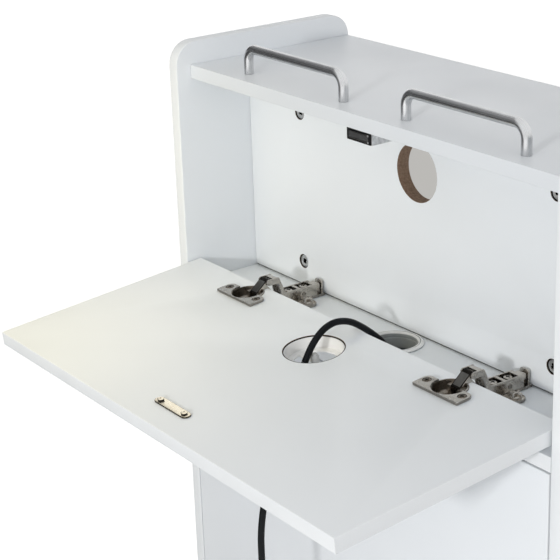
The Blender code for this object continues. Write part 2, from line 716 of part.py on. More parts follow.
def drawer(word, low, high, headroom):
    """One drawer: a front, four boards and a handle, on grooves that run on two strips."""
    outer = HALF_WIDTH - DRAWER_SIDE_GAP
    inner = outer - DRAWER_BOARD
    start = FRONT_Y + BOARD + DRAWER_BACK_GAP
    end = REAR_Y - BOARD - SEAT
    foot = low + DRAWER_FOOTROOM
    head = high - headroom
    front_half = HALF_WIDTH - FRONT_GAP
    front_low = (-front_half, REAR_Y - BOARD, low)
    front_high = (front_half, REAR_Y, high)
    made = [soften(box(f"{word}_drawer_front", front_low, front_high, "white_board"))]

    middle = (foot + head) / 2
    groove = RUNNER_HEIGHT / 2 + RUNNER_CLEARANCE
    runner_inner = outer - GROOVE_DEPTH + RUNNER_CLEARANCE
    for hand, side in (("left", -1), ("right", 1)):
        section = [
            (inner, foot),
            (outer, foot),
            (outer, middle - groove),
            (outer - GROOVE_DEPTH, middle - groove),
            (outer - GROOVE_DEPTH, middle + groove),
            (outer, middle + groove),
            (outer, head),
            (inner, head),
        ]
        mirrored = [(side * x, z) for x, z in section]
        made.append(prism(f"{word}_drawer_side_{hand}", [mirrored], "Y", start, end, "white_board"))
        near, far = sorted((side * runner_inner, side * (HALF_WIDTH - SEAT)))
        strip_low = (near, start + RUNNER_END_GAP, middle - RUNNER_HEIGHT / 2)
        strip_high = (far, end - RUNNER_END_GAP, middle + RUNNER_HEIGHT / 2)
        box(f"{word}_runner_{hand}", strip_low, strip_high, "white_plastic")

    across = inner - SEAT
    back_high = (across, start + DRAWER_BOARD, head)
    made.append(box(f"{word}_drawer_back", (-across, start, foot), back_high, "white_board"))
    sheet = foot + DRAWER_BOTTOM_RISE
    sheet_low = (-across, start + DRAWER_BOARD + SEAT, sheet)
    made.append(box(f"{word}_drawer_bottom", sheet_low, (across, end, sheet + DRAWER_BOTTOM), "white_board"))
    handle = bar_handle(f"{word}_drawer_handle")
    made.append(place(handle, (0, REAR_Y, high - PULL_DROP), (-math.pi / 2, 0, 0)))
    hang_on(pivot(f"{word}_drawer_slide", (0, REAR_Y, middle)), *made)


def drawers():
    """Two drawers, one over the other, that open on the far side from the flap."""
    upper_high = FLOOR_UNDER - FRONT_GAP
    upper_low = upper_high - UPPER_FRONT_HEIGHT
    drawer("upper", upper_low, upper_high, DRAWER_HEADROOM)
    drawer("lower", BOTTOM_TOP + FRONT_GAP, upper_low - FRONT_GAP, LOWER_DRAWER_HEADROOM)


def caster_fork(name, trail):
    """A fork with its swivel head and its axle, about the swivel's axis at ground level."""
    slot = WHEEL_WIDTH / 2 + FORK_SIDE_GAP
    half = slot + FORK_CHEEK
    crown = FORK_CROWN_LENGTH / 2
    crown_top = CROWN_UNDER + FORK_CROWN
    profile = arc((trail, AXLE_HEIGHT), FORK_BOSS_RADIUS, 180, 360)
    profile += [(crown, CROWN_UNDER), (crown, crown_top), (-crown, crown_top), (-crown, CROWN_UNDER)]
    made = prism(name, [profile], "X", -half, half, "satin_steel")
    sweep = 2 * (CASTER_TRAIL + WHEEL_RADIUS)
    gap = box("wheel_slot_cutter", (-slot, -sweep, 0), (slot, sweep, CROWN_UNDER), "satin_steel")
    head_low = CROWN_UNDER + FORK_CROWN / 2
    head_ring = circle((0, 0), SWIVEL_RADIUS)
    head = prism("swivel_head", [head_ring], "Z", head_low, crown_top + SWIVEL_HEIGHT, "satin_steel")
    pin_half = slot + FORK_CHEEK / 2
    pin_ring = circle((trail, AXLE_HEIGHT), AXLE_RADIUS, PIN_STEPS)
    axle = prism("axle_tool", [pin_ring], "X", -pin_half, pin_half, "satin_steel")
    return made, ((gap, "DIFFERENCE"), (head, "UNION"), (axle, "UNION"))


def caster_wheel(name):
    """A crowned wheel with a hub, a sunk web and a bore, turned about X."""
    half = WHEEL_WIDTH / 2
    bore = AXLE_RADIUS + AXLE_CLEARANCE
    hub = AXLE_RADIUS + HUB_WALL
    web = half - WHEEL_WEB_DROP
    rim = WHEEL_RADIUS - WHEEL_TYRE
    right = [(bore, half), (hub, half), (hub, web), (rim, web), (rim, half)]
    right += [(WHEEL_RADIUS - WHEEL_CROWN, half), (WHEEL_RADIUS, half - WHEEL_CROWN)]
    left = [(radius, -height) for radius, height in reversed(right)]
    return turned(name, right + left, "grey_rubber")


def caster(word, x, y, trail):
    """One swivel caster under the bottom panel: its plate, and its fork and wheel on the swivel."""
    half = CASTER_PLATE / 2
    plate_high = (x + half, y + half, PLATE_UNDER + CASTER_PLATE_THICKNESS)
    box(f"caster_plate_{word}", (x - half, y - half, PLATE_UNDER), plate_high, "satin_steel")
    fork, changes = caster_fork(f"caster_fork_{word}", trail)
    for tool, operation in changes:
        combine(fork, place(tool, (x, y, 0)), operation)
    place(fork, (x, y, 0))
    wheel = caster_wheel(f"caster_wheel_{word}")
    place(wheel, (x, y + trail, AXLE_HEIGHT), (0, math.pi / 2, 0))
    hang_on(pivot(f"swivel_{word}", (x, y, 0)), fork, wheel)


def casters():
    """Four swivel casters, trailing outwards."""
    across = HALF_WIDTH - CASTER_FROM_SIDE
    front = ("front", FRONT_Y + CASTER_FROM_FACE, -CASTER_TRAIL)
    rear = ("rear", REAR_Y - CASTER_FROM_FACE, CASTER_TRAIL)
    for end, y, trail in (front, rear):
        for hand, x in (("left", -across), ("right", across)):
            caster(f"{end}_{hand}", x, y, trail)


def smooth(route, step):
    """Points at even steps along a smooth curve through a route (a cubic by chord length)."""
    given = np.array(route)
    given = np.vstack([2 * given[0] - given[1], given, 2 * given[-1] - given[-2]])
    knots = np.concatenate([[0], np.cumsum(np.sqrt(np.linalg.norm(np.diff(given, axis=0), axis=1)))])
    fine = []
    for index in range(1, len(given) - 2):
        t0, t1, t2, t3 = knots[index - 1 : index + 3]
        p0, p1, p2, p3 = given[index - 1 : index + 3]
        for t in np.linspace(t1, t2, CURVE_STEPS, endpoint=False):
            a1 = (p0 * (t1 - t) + p1 * (t - t0)) / (t1 - t0)
            a2 = (p1 * (t2 - t) + p2 * (t - t1)) / (t2 - t1)
            a3 = (p2 * (t3 - t) + p3 * (t - t2)) / (t3 - t2)
            b1 = (a1 * (t2 - t) + a2 * (t - t0)) / (t2 - t0)
            b2 = (a2 * (t3 - t) + a3 * (t - t1)) / (t3 - t1)
            fine.append((b1 * (t2 - t) + b2 * (t - t1)) / (t2 - t1))
    fine = np.array(fine + [given[-2]])
    run = np.concatenate([[0], np.cumsum(np.linalg.norm(np.diff(fine, axis=0), axis=1))])
    even = np.linspace(0, run[-1], max(2, round(run[-1] / step)) + 1)
    return np.column_stack([np.interp(even, run, fine[:, axis]) for axis in range(3)]), run[-1]


def coil_path():
    """Loops that spiral in, climb a layer in the half turn where they reverse, and spiral out again."""
    count = COIL_POINTS * (4 * COIL_TURNS + 1) // 2
    turns = np.arange(count + 1) / COIL_POINTS
    from_an_end = np.minimum(turns, turns[-1] - turns)
    radius = COIL_RADIUS - COIL_PITCH * from_an_end
    climb = np.clip((turns - COIL_TURNS) * 2, 0, 1)
    height = LEAD_DIAMETER / 2 + SEAT + COIL_PITCH * climb * climb * (3 - 2 * climb)
    angle = math.pi / 2 + 2 * math.pi * turns
    x = COIL_CENTRE[0] + radius * np.cos(angle)
    y = FRONT_Y + COIL_CENTRE[1] + radius * np.sin(angle)
    loops = np.column_stack([x, y, height])
    run_in = loops[0] + (LEAD_DIAMETER, 0, 0)
    run_out = loops[-1] + (LEAD_DIAMETER, 0, 0)
    return np.vstack([run_in, loops, run_out])


def least_gap(path):
    """The least gap between turns of one tube, measured between points over half a turn apart."""
    apart = np.linalg.norm(path[:, None] - path[None], axis=2)
    order = np.abs(np.arange(len(path))[:, None] - np.arange(len(path))[None])
    return apart[order > COIL_POINTS // 2].min() - LEAD_DIAMETER


def plug(start):
    """A moulded plug with two round pins, in line with the end of the lead along +X."""
    lead = LEAD_DIAMETER / 2
    profile = [
        (0, 0),
        (lead + PLUG_NECK_WALL, 0),
        (lead + PLUG_SLEEVE_WALL, PLUG_SLEEVE_LENGTH),
        (PLUG_RADIUS, PLUG_SHOULDER),
        (PLUG_RADIUS, PLUG_LENGTH - PLUG_CHAMFER),
        (PLUG_RADIUS - PLUG_CHAMFER, PLUG_LENGTH),
        (0, PLUG_LENGTH),
    ]
    body = turned("lead_plug", profile, "black_plastic")
    pin_low = PLUG_LENGTH - PLUG_PIN_RADIUS
    pin_high = PLUG_LENGTH + PLUG_PIN_LENGTH
    turn = (0, math.pi / 2, 0)
    for side in (-1, 1):
        ring = circle((0, side * PLUG_PIN_SPACING / 2), PLUG_PIN_RADIUS, PIN_STEPS)
        pin = prism("plug_pin_tool", [ring], "Z", pin_low, pin_high, "nickel")
        combine(body, place(pin, start, turn), "UNION")
    place(body, start, turn)


def power_lead():
    """The junction box behind the lower front, and the lead out through the floor and the flap."""
    radius = LEAD_DIAMETER / 2
    top = FLOOR_TOP - BOOT_TOP_DROP - BOOT_LENGTH
    back = FRONT_Y + BOARD + SEAT
    box_low = (-BOX_WIDTH / 2, back, top - BOX_HEIGHT)
    soften(box("junction_box", box_low, (BOX_WIDTH / 2, back + BOX_DEPTH, top), "black_plastic"))
    boot_end = BOOT_LENGTH - SEAT
    boot = [
        (0, SEAT),
        (BOOT_BASE_RADIUS, SEAT),
        (BOOT_BASE_RADIUS, BOOT_COLLAR),
        (radius + BOOT_TIP_WALL, boot_end),
        (0, boot_end),
    ]
    place(turned("lead_boot", boot, "black_plastic"), (0, FRONT_Y + BOOT_SETBACK, top))

    coil = coil_path()
    step = LEAD_STEP * LEAD_DIAMETER
    shift = (0, FRONT_Y, 0)
    upper, upper_length = smooth(np.array(UPPER_ROUTE) + shift, step)
    meet = coil[0] + (SEAT, 0, 0)
    lower, lower_length = smooth(np.vstack([np.array(LOWER_ROUTE) + shift, meet]), step)
    tube("lead_upper", upper, radius, LEAD_SIDES, "black_plastic")
    tube("lead_lower", lower, radius, LEAD_SIDES, "black_plastic")
    tube("lead_coil", coil, radius, COIL_SIDES, "black_plastic")
    plug(coil[-1] + (SEAT, 0, 0))
    length = upper_length + lower_length + np.linalg.norm(np.diff(coil, axis=0), axis=1).sum()
    print(f"lead length {length:.3f} m, least gap in the coil {least_gap(coil) * 1000:.2f} mm")


def main():
    for old in list(bpy.data.objects):
        bpy.data.objects.remove(old, do_unlink=True)
    carcass()
    cable_grommet()
    top_handles()
    magnetic_catch()
    drop_flap()
    drawers()
    casters()
    power_lead()


main()
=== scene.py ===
# %% [markdown]
# # A drawer trolley with a drop-front cable compartment
#
# The trolley is a small cabinet of white laminated boards on four casters. A flap on its front drops on
# two concealed hinges and shows a shallow compartment for cables, and a black power lead comes up
# through the compartment's floor, over the flap's edge and down through a hole in the flap. The
# construction is already modelled and packed. This lesson loads it as a fixed frame and gives every
# piece its finer shape and its finish, without moving or resizing anything.

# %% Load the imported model
import json
import math

import bmesh
import bpy
import numpy as np
from mathutils import Matrix, Vector
from mathutils.geometry import tessellate_polygon


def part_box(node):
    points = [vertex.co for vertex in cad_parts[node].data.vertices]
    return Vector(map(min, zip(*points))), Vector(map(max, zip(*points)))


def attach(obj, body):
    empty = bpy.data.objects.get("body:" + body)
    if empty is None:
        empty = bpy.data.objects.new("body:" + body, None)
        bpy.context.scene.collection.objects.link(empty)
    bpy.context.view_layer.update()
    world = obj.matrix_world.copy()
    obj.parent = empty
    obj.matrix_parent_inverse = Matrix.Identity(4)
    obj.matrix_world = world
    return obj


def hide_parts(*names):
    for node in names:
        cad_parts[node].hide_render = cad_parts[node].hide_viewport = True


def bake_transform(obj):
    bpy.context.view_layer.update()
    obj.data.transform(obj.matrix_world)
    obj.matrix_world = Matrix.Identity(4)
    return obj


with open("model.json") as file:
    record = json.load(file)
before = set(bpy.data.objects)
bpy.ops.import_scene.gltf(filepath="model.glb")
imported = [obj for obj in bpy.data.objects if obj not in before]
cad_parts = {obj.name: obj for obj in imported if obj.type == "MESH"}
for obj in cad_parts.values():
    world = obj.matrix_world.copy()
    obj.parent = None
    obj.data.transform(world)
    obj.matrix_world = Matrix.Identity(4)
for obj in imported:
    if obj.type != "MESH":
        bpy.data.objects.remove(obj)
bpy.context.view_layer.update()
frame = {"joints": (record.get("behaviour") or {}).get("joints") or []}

# %% [markdown]
# ## Planes that everything is measured from
#
# A cabinet maker measures from faces: the front plane, the top of the compartment's floor, the top of
# the shelf. Reading these from the frame, and not typing them again, keeps every new piece where the
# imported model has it. All lengths are metres, and the compartment side is -Y.

# %% Read the planes
BOARD = 0.015
SEAT = 0.0003
front_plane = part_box("lower_front_panel")[0].y
rear_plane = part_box("upper_drawer_front")[1].y
floor_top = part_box("compartment_floor")[1].z
shelf_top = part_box("top_shelf")[1].z
inner_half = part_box("right_side_panel")[0].x

FLAP_EDGE_SETBACK = 0.0166
FLAP_EDGE_RISE = 0.0264
flap_hinge = next(joint for joint in frame["joints"] if joint["name"] == "flap_hinge")
flap_tilt = math.radians(flap_hinge["range_deg"][1] - 90)
flap_edge = Vector((0, front_plane + FLAP_EDGE_SETBACK, floor_top + FLAP_EDGE_RISE))
on_flap = Matrix.Translation(flap_edge) @ Matrix.Rotation(flap_tilt, 4, "X")
print(f"front {front_plane:.4f}, floor {floor_top:.4f}, shelf {shelf_top:.4f}, flap tilt {flap_tilt:.4f}")

# %% [markdown]
# ## Surfaces as arrays
#
# A board, a bent bar or a turned ring is a surface over two parameters: round an outline and through
# the thickness, along a path and round a section, up a profile and round an axis. Blender's own
# primitives could make them one by one, but with numpy the whole grid of points is one formula, and the
# same few functions then serve every piece. A `Shape` keeps points and faces together with a finish
# number for each face and the *lie* of each point, which is its place on the surface for patterns that
# follow a bar or a lead.

# %% A shape and the grid under it
def grid_faces(rows, columns):
    """Cells of a grid whose last column meets the first: (r, c), (r, c+1), (r+1, c+1), (r+1, c)."""
    row, column = np.meshgrid(np.arange(rows - 1), np.arange(columns), indexing="ij")
    after = (column + 1) % columns
    low, high = row * columns, (row + 1) * columns
    cells = [low + column, low + after, high + after, high + column]
    return np.stack(cells, axis=-1).reshape(-1, 4).tolist()


class Shape:
    """Points, faces, a finish number and a flat mark for each face, and a lie for each point."""

    def __init__(self, points, faces, kinds=0, flat=False, lie=None):
        self.points = np.reshape(points, (-1, 3))
        self.faces = faces
        self.kinds = np.array(np.broadcast_to(kinds, len(faces)))
        self.flat = np.array(np.broadcast_to(flat, len(faces)))
        self.lie = self.points if lie is None else np.reshape(lie, (-1, 3))

    def __add__(self, other):
        """Both shapes side by side: the second one's faces count on from the first one's points."""
        start = len(self.points)
        faces = self.faces + [[start + corner for corner in face] for face in other.faces]
        kinds = np.concatenate([self.kinds, other.kinds])
        flat = np.concatenate([self.flat, other.flat])
        lie = np.vstack([self.lie, other.lie])
        return Shape(np.vstack([self.points, other.points]), faces, kinds, flat, lie)

    def moved(self, matrix):
        """Every point times a matrix."""
        turn = np.array(matrix)
        points = self.points @ turn[:3, :3].T + turn[:3, 3]
        return Shape(points, self.faces, self.kinds, self.flat, self.lie)

    def painted(self, kind):
        """The same shape with one finish number on all faces, or with one for each."""
        return Shape(self.points, self.faces, kind, self.flat, self.lie)


def at(x=0.0, y=0.0, z=0.0):
    """A move to a place."""
    return Matrix.Translation((x, y, z))


QUARTER = math.pi / 2
TO_FRONT = Matrix.Rotation(QUARTER, 4, "X")
TO_REAR = Matrix.Rotation(-QUARTER, 4, "X")
TO_RIGHT = Matrix.Rotation(QUARTER, 4, "Z") @ TO_FRONT
TURN_OVER = Matrix.Rotation(math.pi, 4, "X")
print("shapes: u across and v up, thickness up, to the front or to the right")

# %% [markdown]
# ## Outlines with round corners
#
# Most outlines here are straight sides with round corners. A corner can be bevelled afterwards, but
# then every hole and edge waits for a modifier. Rounding the outline itself is exact: a weighted
# quadratic curve between two points of a corner is a true arc.

# %% Outlines
def rounded(corners, radii, closed=True, steps=8):
    """Round corners: a curve leaves each side at radius * tan(turn / 2) from the corner and follows
    start (1-t)^2 + corner 2wt(1-t) + end t^2, over the same weights, an arc for w = cos(turn / 2)."""
    corners = np.array(corners, float)
    before, after = np.roll(corners, 1, axis=0) - corners, np.roll(corners, -1, axis=0) - corners
    reach_before, reach_after = np.linalg.norm(before, axis=1), np.linalg.norm(after, axis=1)
    before, after = before / reach_before[:, None], after / reach_after[:, None]
    cosine = np.clip((before * after).sum(axis=1), -1, 1)
    half_turn = (np.pi - np.arccos(cosine)) / 2
    radii = np.array(np.broadcast_to(radii, len(corners)), float)
    if not closed:
        radii[[0, -1]] = 0
    reach = np.minimum(radii * np.tan(half_turn), 0.49 * np.minimum(reach_before, reach_after))
    start, end = corners + reach[:, None] * before, corners + reach[:, None] * after
    t = np.linspace(0, 1, steps + 1)[None, :, None]
    pull = 2 * np.cos(half_turn)[:, None, None] * t * (1 - t)
    curve = start[:, None] * (1 - t) ** 2 + corners[:, None] * pull + end[:, None] * t**2
    points = (curve / ((1 - t) ** 2 + pull + t**2)).reshape(-1, corners.shape[1])
    apart = np.linalg.norm(points - np.roll(points, 1, axis=0), axis=1) > 1e-7
    apart[0] |= not closed
    return points[apart]


def rectangle(low, high):
    """Four corners, anticlockwise."""
    return [(low[0], low[1]), (high[0], low[1]), (high[0], high[1]), (low[0], high[1])]


def four_places(low, high, inset):
    """A place near each corner of a rectangle, set in from both sides."""
    across, along = (low[0] + inset, high[0] - inset), (low[1] + inset, high[1] - inset)
    return [(x, y) for x in across for y in along]


def arc(centre, radius, start, end, steps=24):
    """Centre plus radius times (cos a, sin a), from one angle to another in degrees."""
    angle = np.radians(np.linspace(start, end, steps + 1))
    return np.array(centre) + radius * np.column_stack([np.cos(angle), np.sin(angle)])


def circle(centre, radius, steps=64):
    """An arc all the way round, without its last point."""
    return arc(centre, radius, 0, 360, steps)[:-1]


print(f"a rounded square has {len(rounded(rectangle((0, 0), (1, 1)), 0.2))} points")

# %% [markdown]
# ## Boards, bars and turned pieces
#
# A *slab* is an outline carried through a thickness, drawn in at both faces by a quarter circle, so
# that light catches a soft edge as on a real edge band. A *sweep* carries a section along a path, and a
# *lathe* turns a profile. A screw is a lathe whose rings near the middle follow a cross instead of a
# circle.

# %% Slabs
LAMINATE, CORE, BAND, JOINT_SHADE = 0, 1, 2, 3
FINE_EDGE, SMALL_EDGE, SOFT_EDGE = 0.0002, 0.0003, 0.0004
THIN_EDGE, ROUND_EDGE, WIDE_EDGE = 0.0005, 0.0006, 0.0008


def drawn_in(loop, amounts):
    """Move each point of a loop along its bisector, (n0 + n1) / (1 + n0.n1), into the material."""
    normal = np.roll(loop, -1, axis=0) - loop
    normal = np.column_stack([-normal[:, 1], normal[:, 0]]) / np.linalg.norm(normal, axis=1)[:, None]
    earlier = np.roll(normal, 1, axis=0)
    bisector = (earlier + normal) / (1 + (earlier * normal).sum(axis=1, keepdims=True))
    return loop[None] + np.asarray(amounts)[:, None, None] * bisector[None]


def turning(loop, way):
    """The loop in the asked direction: +1 anticlockwise, -1 clockwise, by the sign of its area."""
    x, y = np.asarray(loop, float).T
    area = (x * np.roll(y, -1) - np.roll(x, -1) * y).sum()
    return np.asarray(loop, float) if area * way > 0 else np.asarray(loop, float)[::-1]


def slab(outline, low, high, edge, holes=(), pockets=(), lip=FINE_EDGE, steps=4):
    """Loops through a thickness, drawn in by e (1 - sin a) where they are e (1 - cos a) from a face, over a
    quarter turn of a, with flat faces between the loops. A pocket is (loop, floor height) and opens
    upwards."""
    turn = np.linspace(0, QUARTER, steps + 1)
    draw, lift = 1 - np.sin(turn), 1 - np.cos(turn)
    loops = [(turning(outline, 1), BAND, edge, low + edge * lift, draw)]
    loops += [(turning(hole, -1), CORE, lip, low + lip * lift, draw) for hole in holes]
    loops += [(turning(loop, -1), CORE, lip, np.array([floor]), np.zeros(1)) for loop, floor in pockets]
    points, faces, kinds, tops, floors = np.zeros((0, 3)), [], [], [], []
    for loop, kind, soft, foot, foot_draw in loops:
        heights = np.concatenate([foot, high - soft * lift[::-1]])
        rings = drawn_in(loop, soft * np.concatenate([foot_draw, draw[::-1]]))
        wall = np.dstack([rings, np.broadcast_to(heights[:, None], rings.shape[:2])])
        start, count = len(points), len(loop)
        faces += [[start + corner for corner in face] for face in grid_faces(len(heights), count)]
        kinds += [kind] * (len(faces) - len(kinds))
        points = np.vstack([points, wall.reshape(-1, 3)])
        tops.append(np.arange(len(points) - count, len(points)))
        floors.append(np.arange(start, start + count))
    flat = [False] * len(faces)
    through = 1 + len(holes)
    caps = [tops, floors[:through]] + [[floor] for floor in floors[through:]]
    for cap in caps:
        corner = np.concatenate(cap)
        filled = tessellate_polygon([points[ring].tolist() for ring in cap])
        faces += corner[np.array(filled)].tolist()
        kinds += [LAMINATE if cap[0] is tops[0] or cap[0] is floors[0] else CORE] * len(filled)
        flat += [True] * len(filled)
    return Shape(points, faces, kinds, flat)


def block(low, high, radii, bottom, top, edge, kind=0):
    """A slab over a rectangle with round corners, with one finish number."""
    return slab(rounded(rectangle(low, high), radii), bottom, top, edge).painted(kind)


print("a block has", len(block((0, 0), (1, 1), 0.1, 0, 1, 0.1).faces), "faces")

# %% Sweeps
def length_run(path, power=1.0):
    """The length of a path up to each of its points, or the sum of its steps' lengths to a power."""
    steps = np.linalg.norm(np.diff(path, axis=0), axis=1)
    return np.concatenate([[0], np.cumsum(steps**power)])


def sweep(path, section, reference, ring=False):
    """Path point + section x * side + section y * up, where side is the reference made square to the path
    and up is path x side. The lie is (section x, section y, length run)."""
    path, section = np.asarray(path, float), np.asarray(section, float)
    ahead = np.roll(path, -1, axis=0) - np.roll(path, 1, axis=0) if ring else np.gradient(path, axis=0)
    ahead = ahead / np.linalg.norm(ahead, axis=1)[:, None]
    reference = np.broadcast_to(reference, path.shape)
    side = reference - (reference * ahead).sum(axis=1, keepdims=True) * ahead
    side = side / np.linalg.norm(side, axis=1)[:, None]
    up = np.cross(ahead, side)
    points = path[:, None] + section[None, :, :1] * side[:, None] + section[None, :, 1:] * up[:, None]
    rows, columns = points.shape[:2]
    run = np.broadcast_to(length_run(path)[:, None], (rows, columns))
    lie = np.dstack([np.broadcast_to(section, (rows, *section.shape)), run])
    faces = grid_faces(rows, columns)
    if ring:
        last = (rows - 1) * columns
        joined = grid_faces(2, columns)
        faces += [[last + a, last + b, c - columns, d - columns] for a, b, c, d in joined]
        return Shape(points, faces, lie=lie)
    ends = [list(range(columns)), list(range((rows - 1) * columns, rows * columns))]
    return Shape(points, faces + ends, flat=[False] * len(faces) + [True, True], lie=lie)


straight = sweep([(0, 0, 0), (1, 0, 0)], rectangle((0, 0), (1, 1)), (0, 1, 0))
print("a square bar has", len(straight.faces), "faces")

# %% Turned pieces and screws
def lathe(profile, steps=64, kinds=0):
    """Turn (radius, height) points: (r cos a, r sin a, h). A profile that comes back to its start is a ring.
    The finish numbers are one for all, or one for each stretch of the profile."""
    radius, height = np.asarray(profile, float).T
    angle = 2 * np.pi * np.arange(steps) / steps
    across = radius[:, None] * np.array([np.cos(angle), np.sin(angle)])[:, None]
    points = np.dstack([*across, np.broadcast_to(height[:, None], across[0].shape)])
    kinds = np.repeat(np.broadcast_to(kinds, len(radius) - 1), steps)
    return Shape(points, grid_faces(len(radius), steps), kinds)


def turned(corners, radii, steps, kind=0, fine=8):
    """A lathe over an open profile with round corners."""
    return lathe(rounded(corners, radii, closed=False, steps=fine), steps, kind)


def turned_ring(corners, radii, steps, kind=0, fine=8):
    """A lathe over a profile with round corners that comes back to its start."""
    profile = rounded(corners, radii, steps=fine)
    return lathe(np.vstack([profile, profile[:1]]), steps, kind)


def screw_head(radius, height, recess, spread=15, reach=0.62, steps=48):
    """A dome h (1 - 0.5 (r/R)^2) over a polar grid whose inner rings are scaled to a cross, sunk by the
    recess. Its arms reach to a share of R and are tan s as wide as long, s a spread in degrees. Finish 0 is
    the head and 1 the recess, which the pieces fill with painted shade."""
    angle = 2 * np.pi * np.arange(steps) / steps
    along, aside = np.maximum(np.abs([np.cos(angle), np.sin(angle)]), 1e-9)
    arm = reach * radius
    width = arm * math.tan(math.radians(spread))
    cross = np.maximum(np.minimum(arm / along, width / aside), np.minimum(arm / aside, width / along))
    # The rings: middle and side of the recess, edge of the cross, three on the dome, rim, foot, its middle
    share = np.array([0, 0.7, 1, 1, 1, 1, 1, 1, 0])[:, None]
    outward = np.array([0, 0, 0, 0.3, 0.65, 0.92, 1, 1, 0])[:, None]
    distance = share * (cross + outward * (radius - cross))
    rise = height * (1 - 0.5 * (distance / radius) ** 2)
    rise[:2] -= recess
    rise[6] = 0.3 * height
    rise[7:] = min(-0.1 * height, height - recess - 0.0002)
    points = np.dstack([distance * np.cos(angle), distance * np.sin(angle), rise])
    kinds = np.repeat([1, 1, 0, 0, 0, 0, 0, 0], steps)
    return Shape(points, grid_faces(len(share), steps), kinds)


print("a screw head has", len(screw_head(1, 1, 1).faces), "faces")

# %% [markdown]
# ## From a shape to a piece
#
# A finished piece is an object at the origin whose place is in its mesh. Doubled points at poles and
# seams are merged, faces are turned outwards, and sharp edges are found by angle. Then the piece is
# tied to the body that carries it, takes its finishes as material slots, and may stand in for nodes of
# the frame.

# %% Make a piece
def piece(name, shape, finishes, body, replaces=(), sharp=35):
    """A mesh object from a shape, riding on a body unless that is None."""
    mesh = bpy.data.meshes.new(name)
    mesh.from_pydata(shape.points.tolist(), [], shape.faces)
    mesh.polygons.foreach_set("use_smooth", ~shape.flat.astype(bool))
    mesh.polygons.foreach_set("material_index", shape.kinds.astype(np.int32))
    lie = mesh.attributes.new("lie", "FLOAT_VECTOR", "POINT")
    lie.data.foreach_set("vector", shape.lie.astype(np.float32).ravel())
    work = bmesh.new()
    work.from_mesh(mesh)
    bmesh.ops.remove_doubles(work, verts=work.verts, dist=1e-6)
    bmesh.ops.recalc_face_normals(work, faces=work.faces)
    work.to_mesh(mesh)
    work.free()
    mesh.set_sharp_from_angle(angle=math.radians(sharp))
    for material in finishes:
        mesh.materials.append(material)
    made = bpy.data.objects.new(name, mesh)
    bpy.context.scene.collection.objects.link(made)
    if body:
        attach(made, body)
    if replaces:
        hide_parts(*replaces)
    return made


print("piece: merge, turn outwards, mark sharp edges, ride, slot, replace")

# %% [markdown]
# ## Effects that several finishes share
#
# Real surfaces drift a little in tone, have a fine grain that breaks up reflections, and are smoother
# where they are handled. Each effect is one node group with named sockets, placed in a material with
# its own values. The shaders themselves stay in the materials.

# %% Node groups
def add_node(tree, kind, inputs=None, **settings):
    """A node with its settings, and its inputs either set to a value or linked to a socket."""
    made = tree.nodes.new(kind)
    for name, value in settings.items():
        setattr(made, name, value)
    for name, value in (inputs or {}).items():
        if isinstance(value, bpy.types.NodeSocket):
            tree.links.new(value, made.inputs[name])
        else:
            made.inputs[name].default_value = value
    return made


def new_group(name, inputs, outputs):
    """An empty node group with named sockets, and its two end nodes' sockets."""
    tree = bpy.data.node_groups.new(name, "ShaderNodeTree")
    for label, kind in inputs.items():
        tree.interface.new_socket(label, in_out="INPUT", socket_type=kind)
    for label, kind in outputs.items():
        tree.interface.new_socket(label, in_out="OUTPUT", socket_type=kind)
    return tree, tree.nodes.new("NodeGroupInput").outputs, tree.nodes.new("NodeGroupOutput").inputs


NUMBER, VECTOR, COLOUR = "NodeSocketFloat", "NodeSocketVector", "NodeSocketColor"


def noise(tree, vector, scale, detail, low, high, to_low=0.0, to_high=1.0):
    """Noise at a scale, its middle range spread between two values."""
    cloud = add_node(tree, "ShaderNodeTexNoise", {"Vector": vector, "Scale": scale, "Detail": detail})
    ends = {"From Min": low, "From Max": high, "To Min": to_low, "To Max": to_high}
    return add_node(tree, "ShaderNodeMapRange", {"Value": cloud.outputs["Fac"], **ends}).outputs["Result"]


def tone_drift_group():
    """Two tones of one colour that drift into each other in soft patches."""
    sockets = {"Vector": VECTOR, "Patch": NUMBER, "Light": COLOUR, "Dark": COLOUR}
    tree, given, made = new_group("tone drift", sockets, {"Color": COLOUR})
    share = noise(tree, given["Vector"], given["Patch"], 3.0, 0.32, 0.68)
    mix = add_node(tree, "ShaderNodeMix", {0: share, 6: given["Light"], 7: given["Dark"]}, data_type="RGBA")
    tree.links.new(mix.outputs[2], made["Color"])
    return tree


def fine_grain_group():
    """A shallow pebbled grain as a bump, the grain's depth given in metres."""
    sockets = {"Vector": VECTOR, "Grain": NUMBER, "Depth": NUMBER}
    tree, given, made = new_group("fine grain", sockets, {"Normal": VECTOR})
    height = noise(tree, given["Vector"], given["Grain"], 2.0, 0.3, 0.7)
    bump = add_node(tree, "ShaderNodeBump", {"Strength": 1.0, "Distance": given["Depth"], "Height": height})
    tree.links.new(bump.outputs["Normal"], made["Normal"])
    return tree


def handled_group():
    """Roughness that wanders between a clean and a handled value."""
    sockets = {"Vector": VECTOR, "Patch": NUMBER, "Clean": NUMBER, "Handled": NUMBER}
    tree, given, made = new_group("handled sheen", sockets, {"Roughness": NUMBER})
    level = noise(tree, given["Vector"], given["Patch"], 4.0, 0.35, 0.65, given["Clean"], given["Handled"])
    tree.links.new(level, made["Roughness"])
    return tree


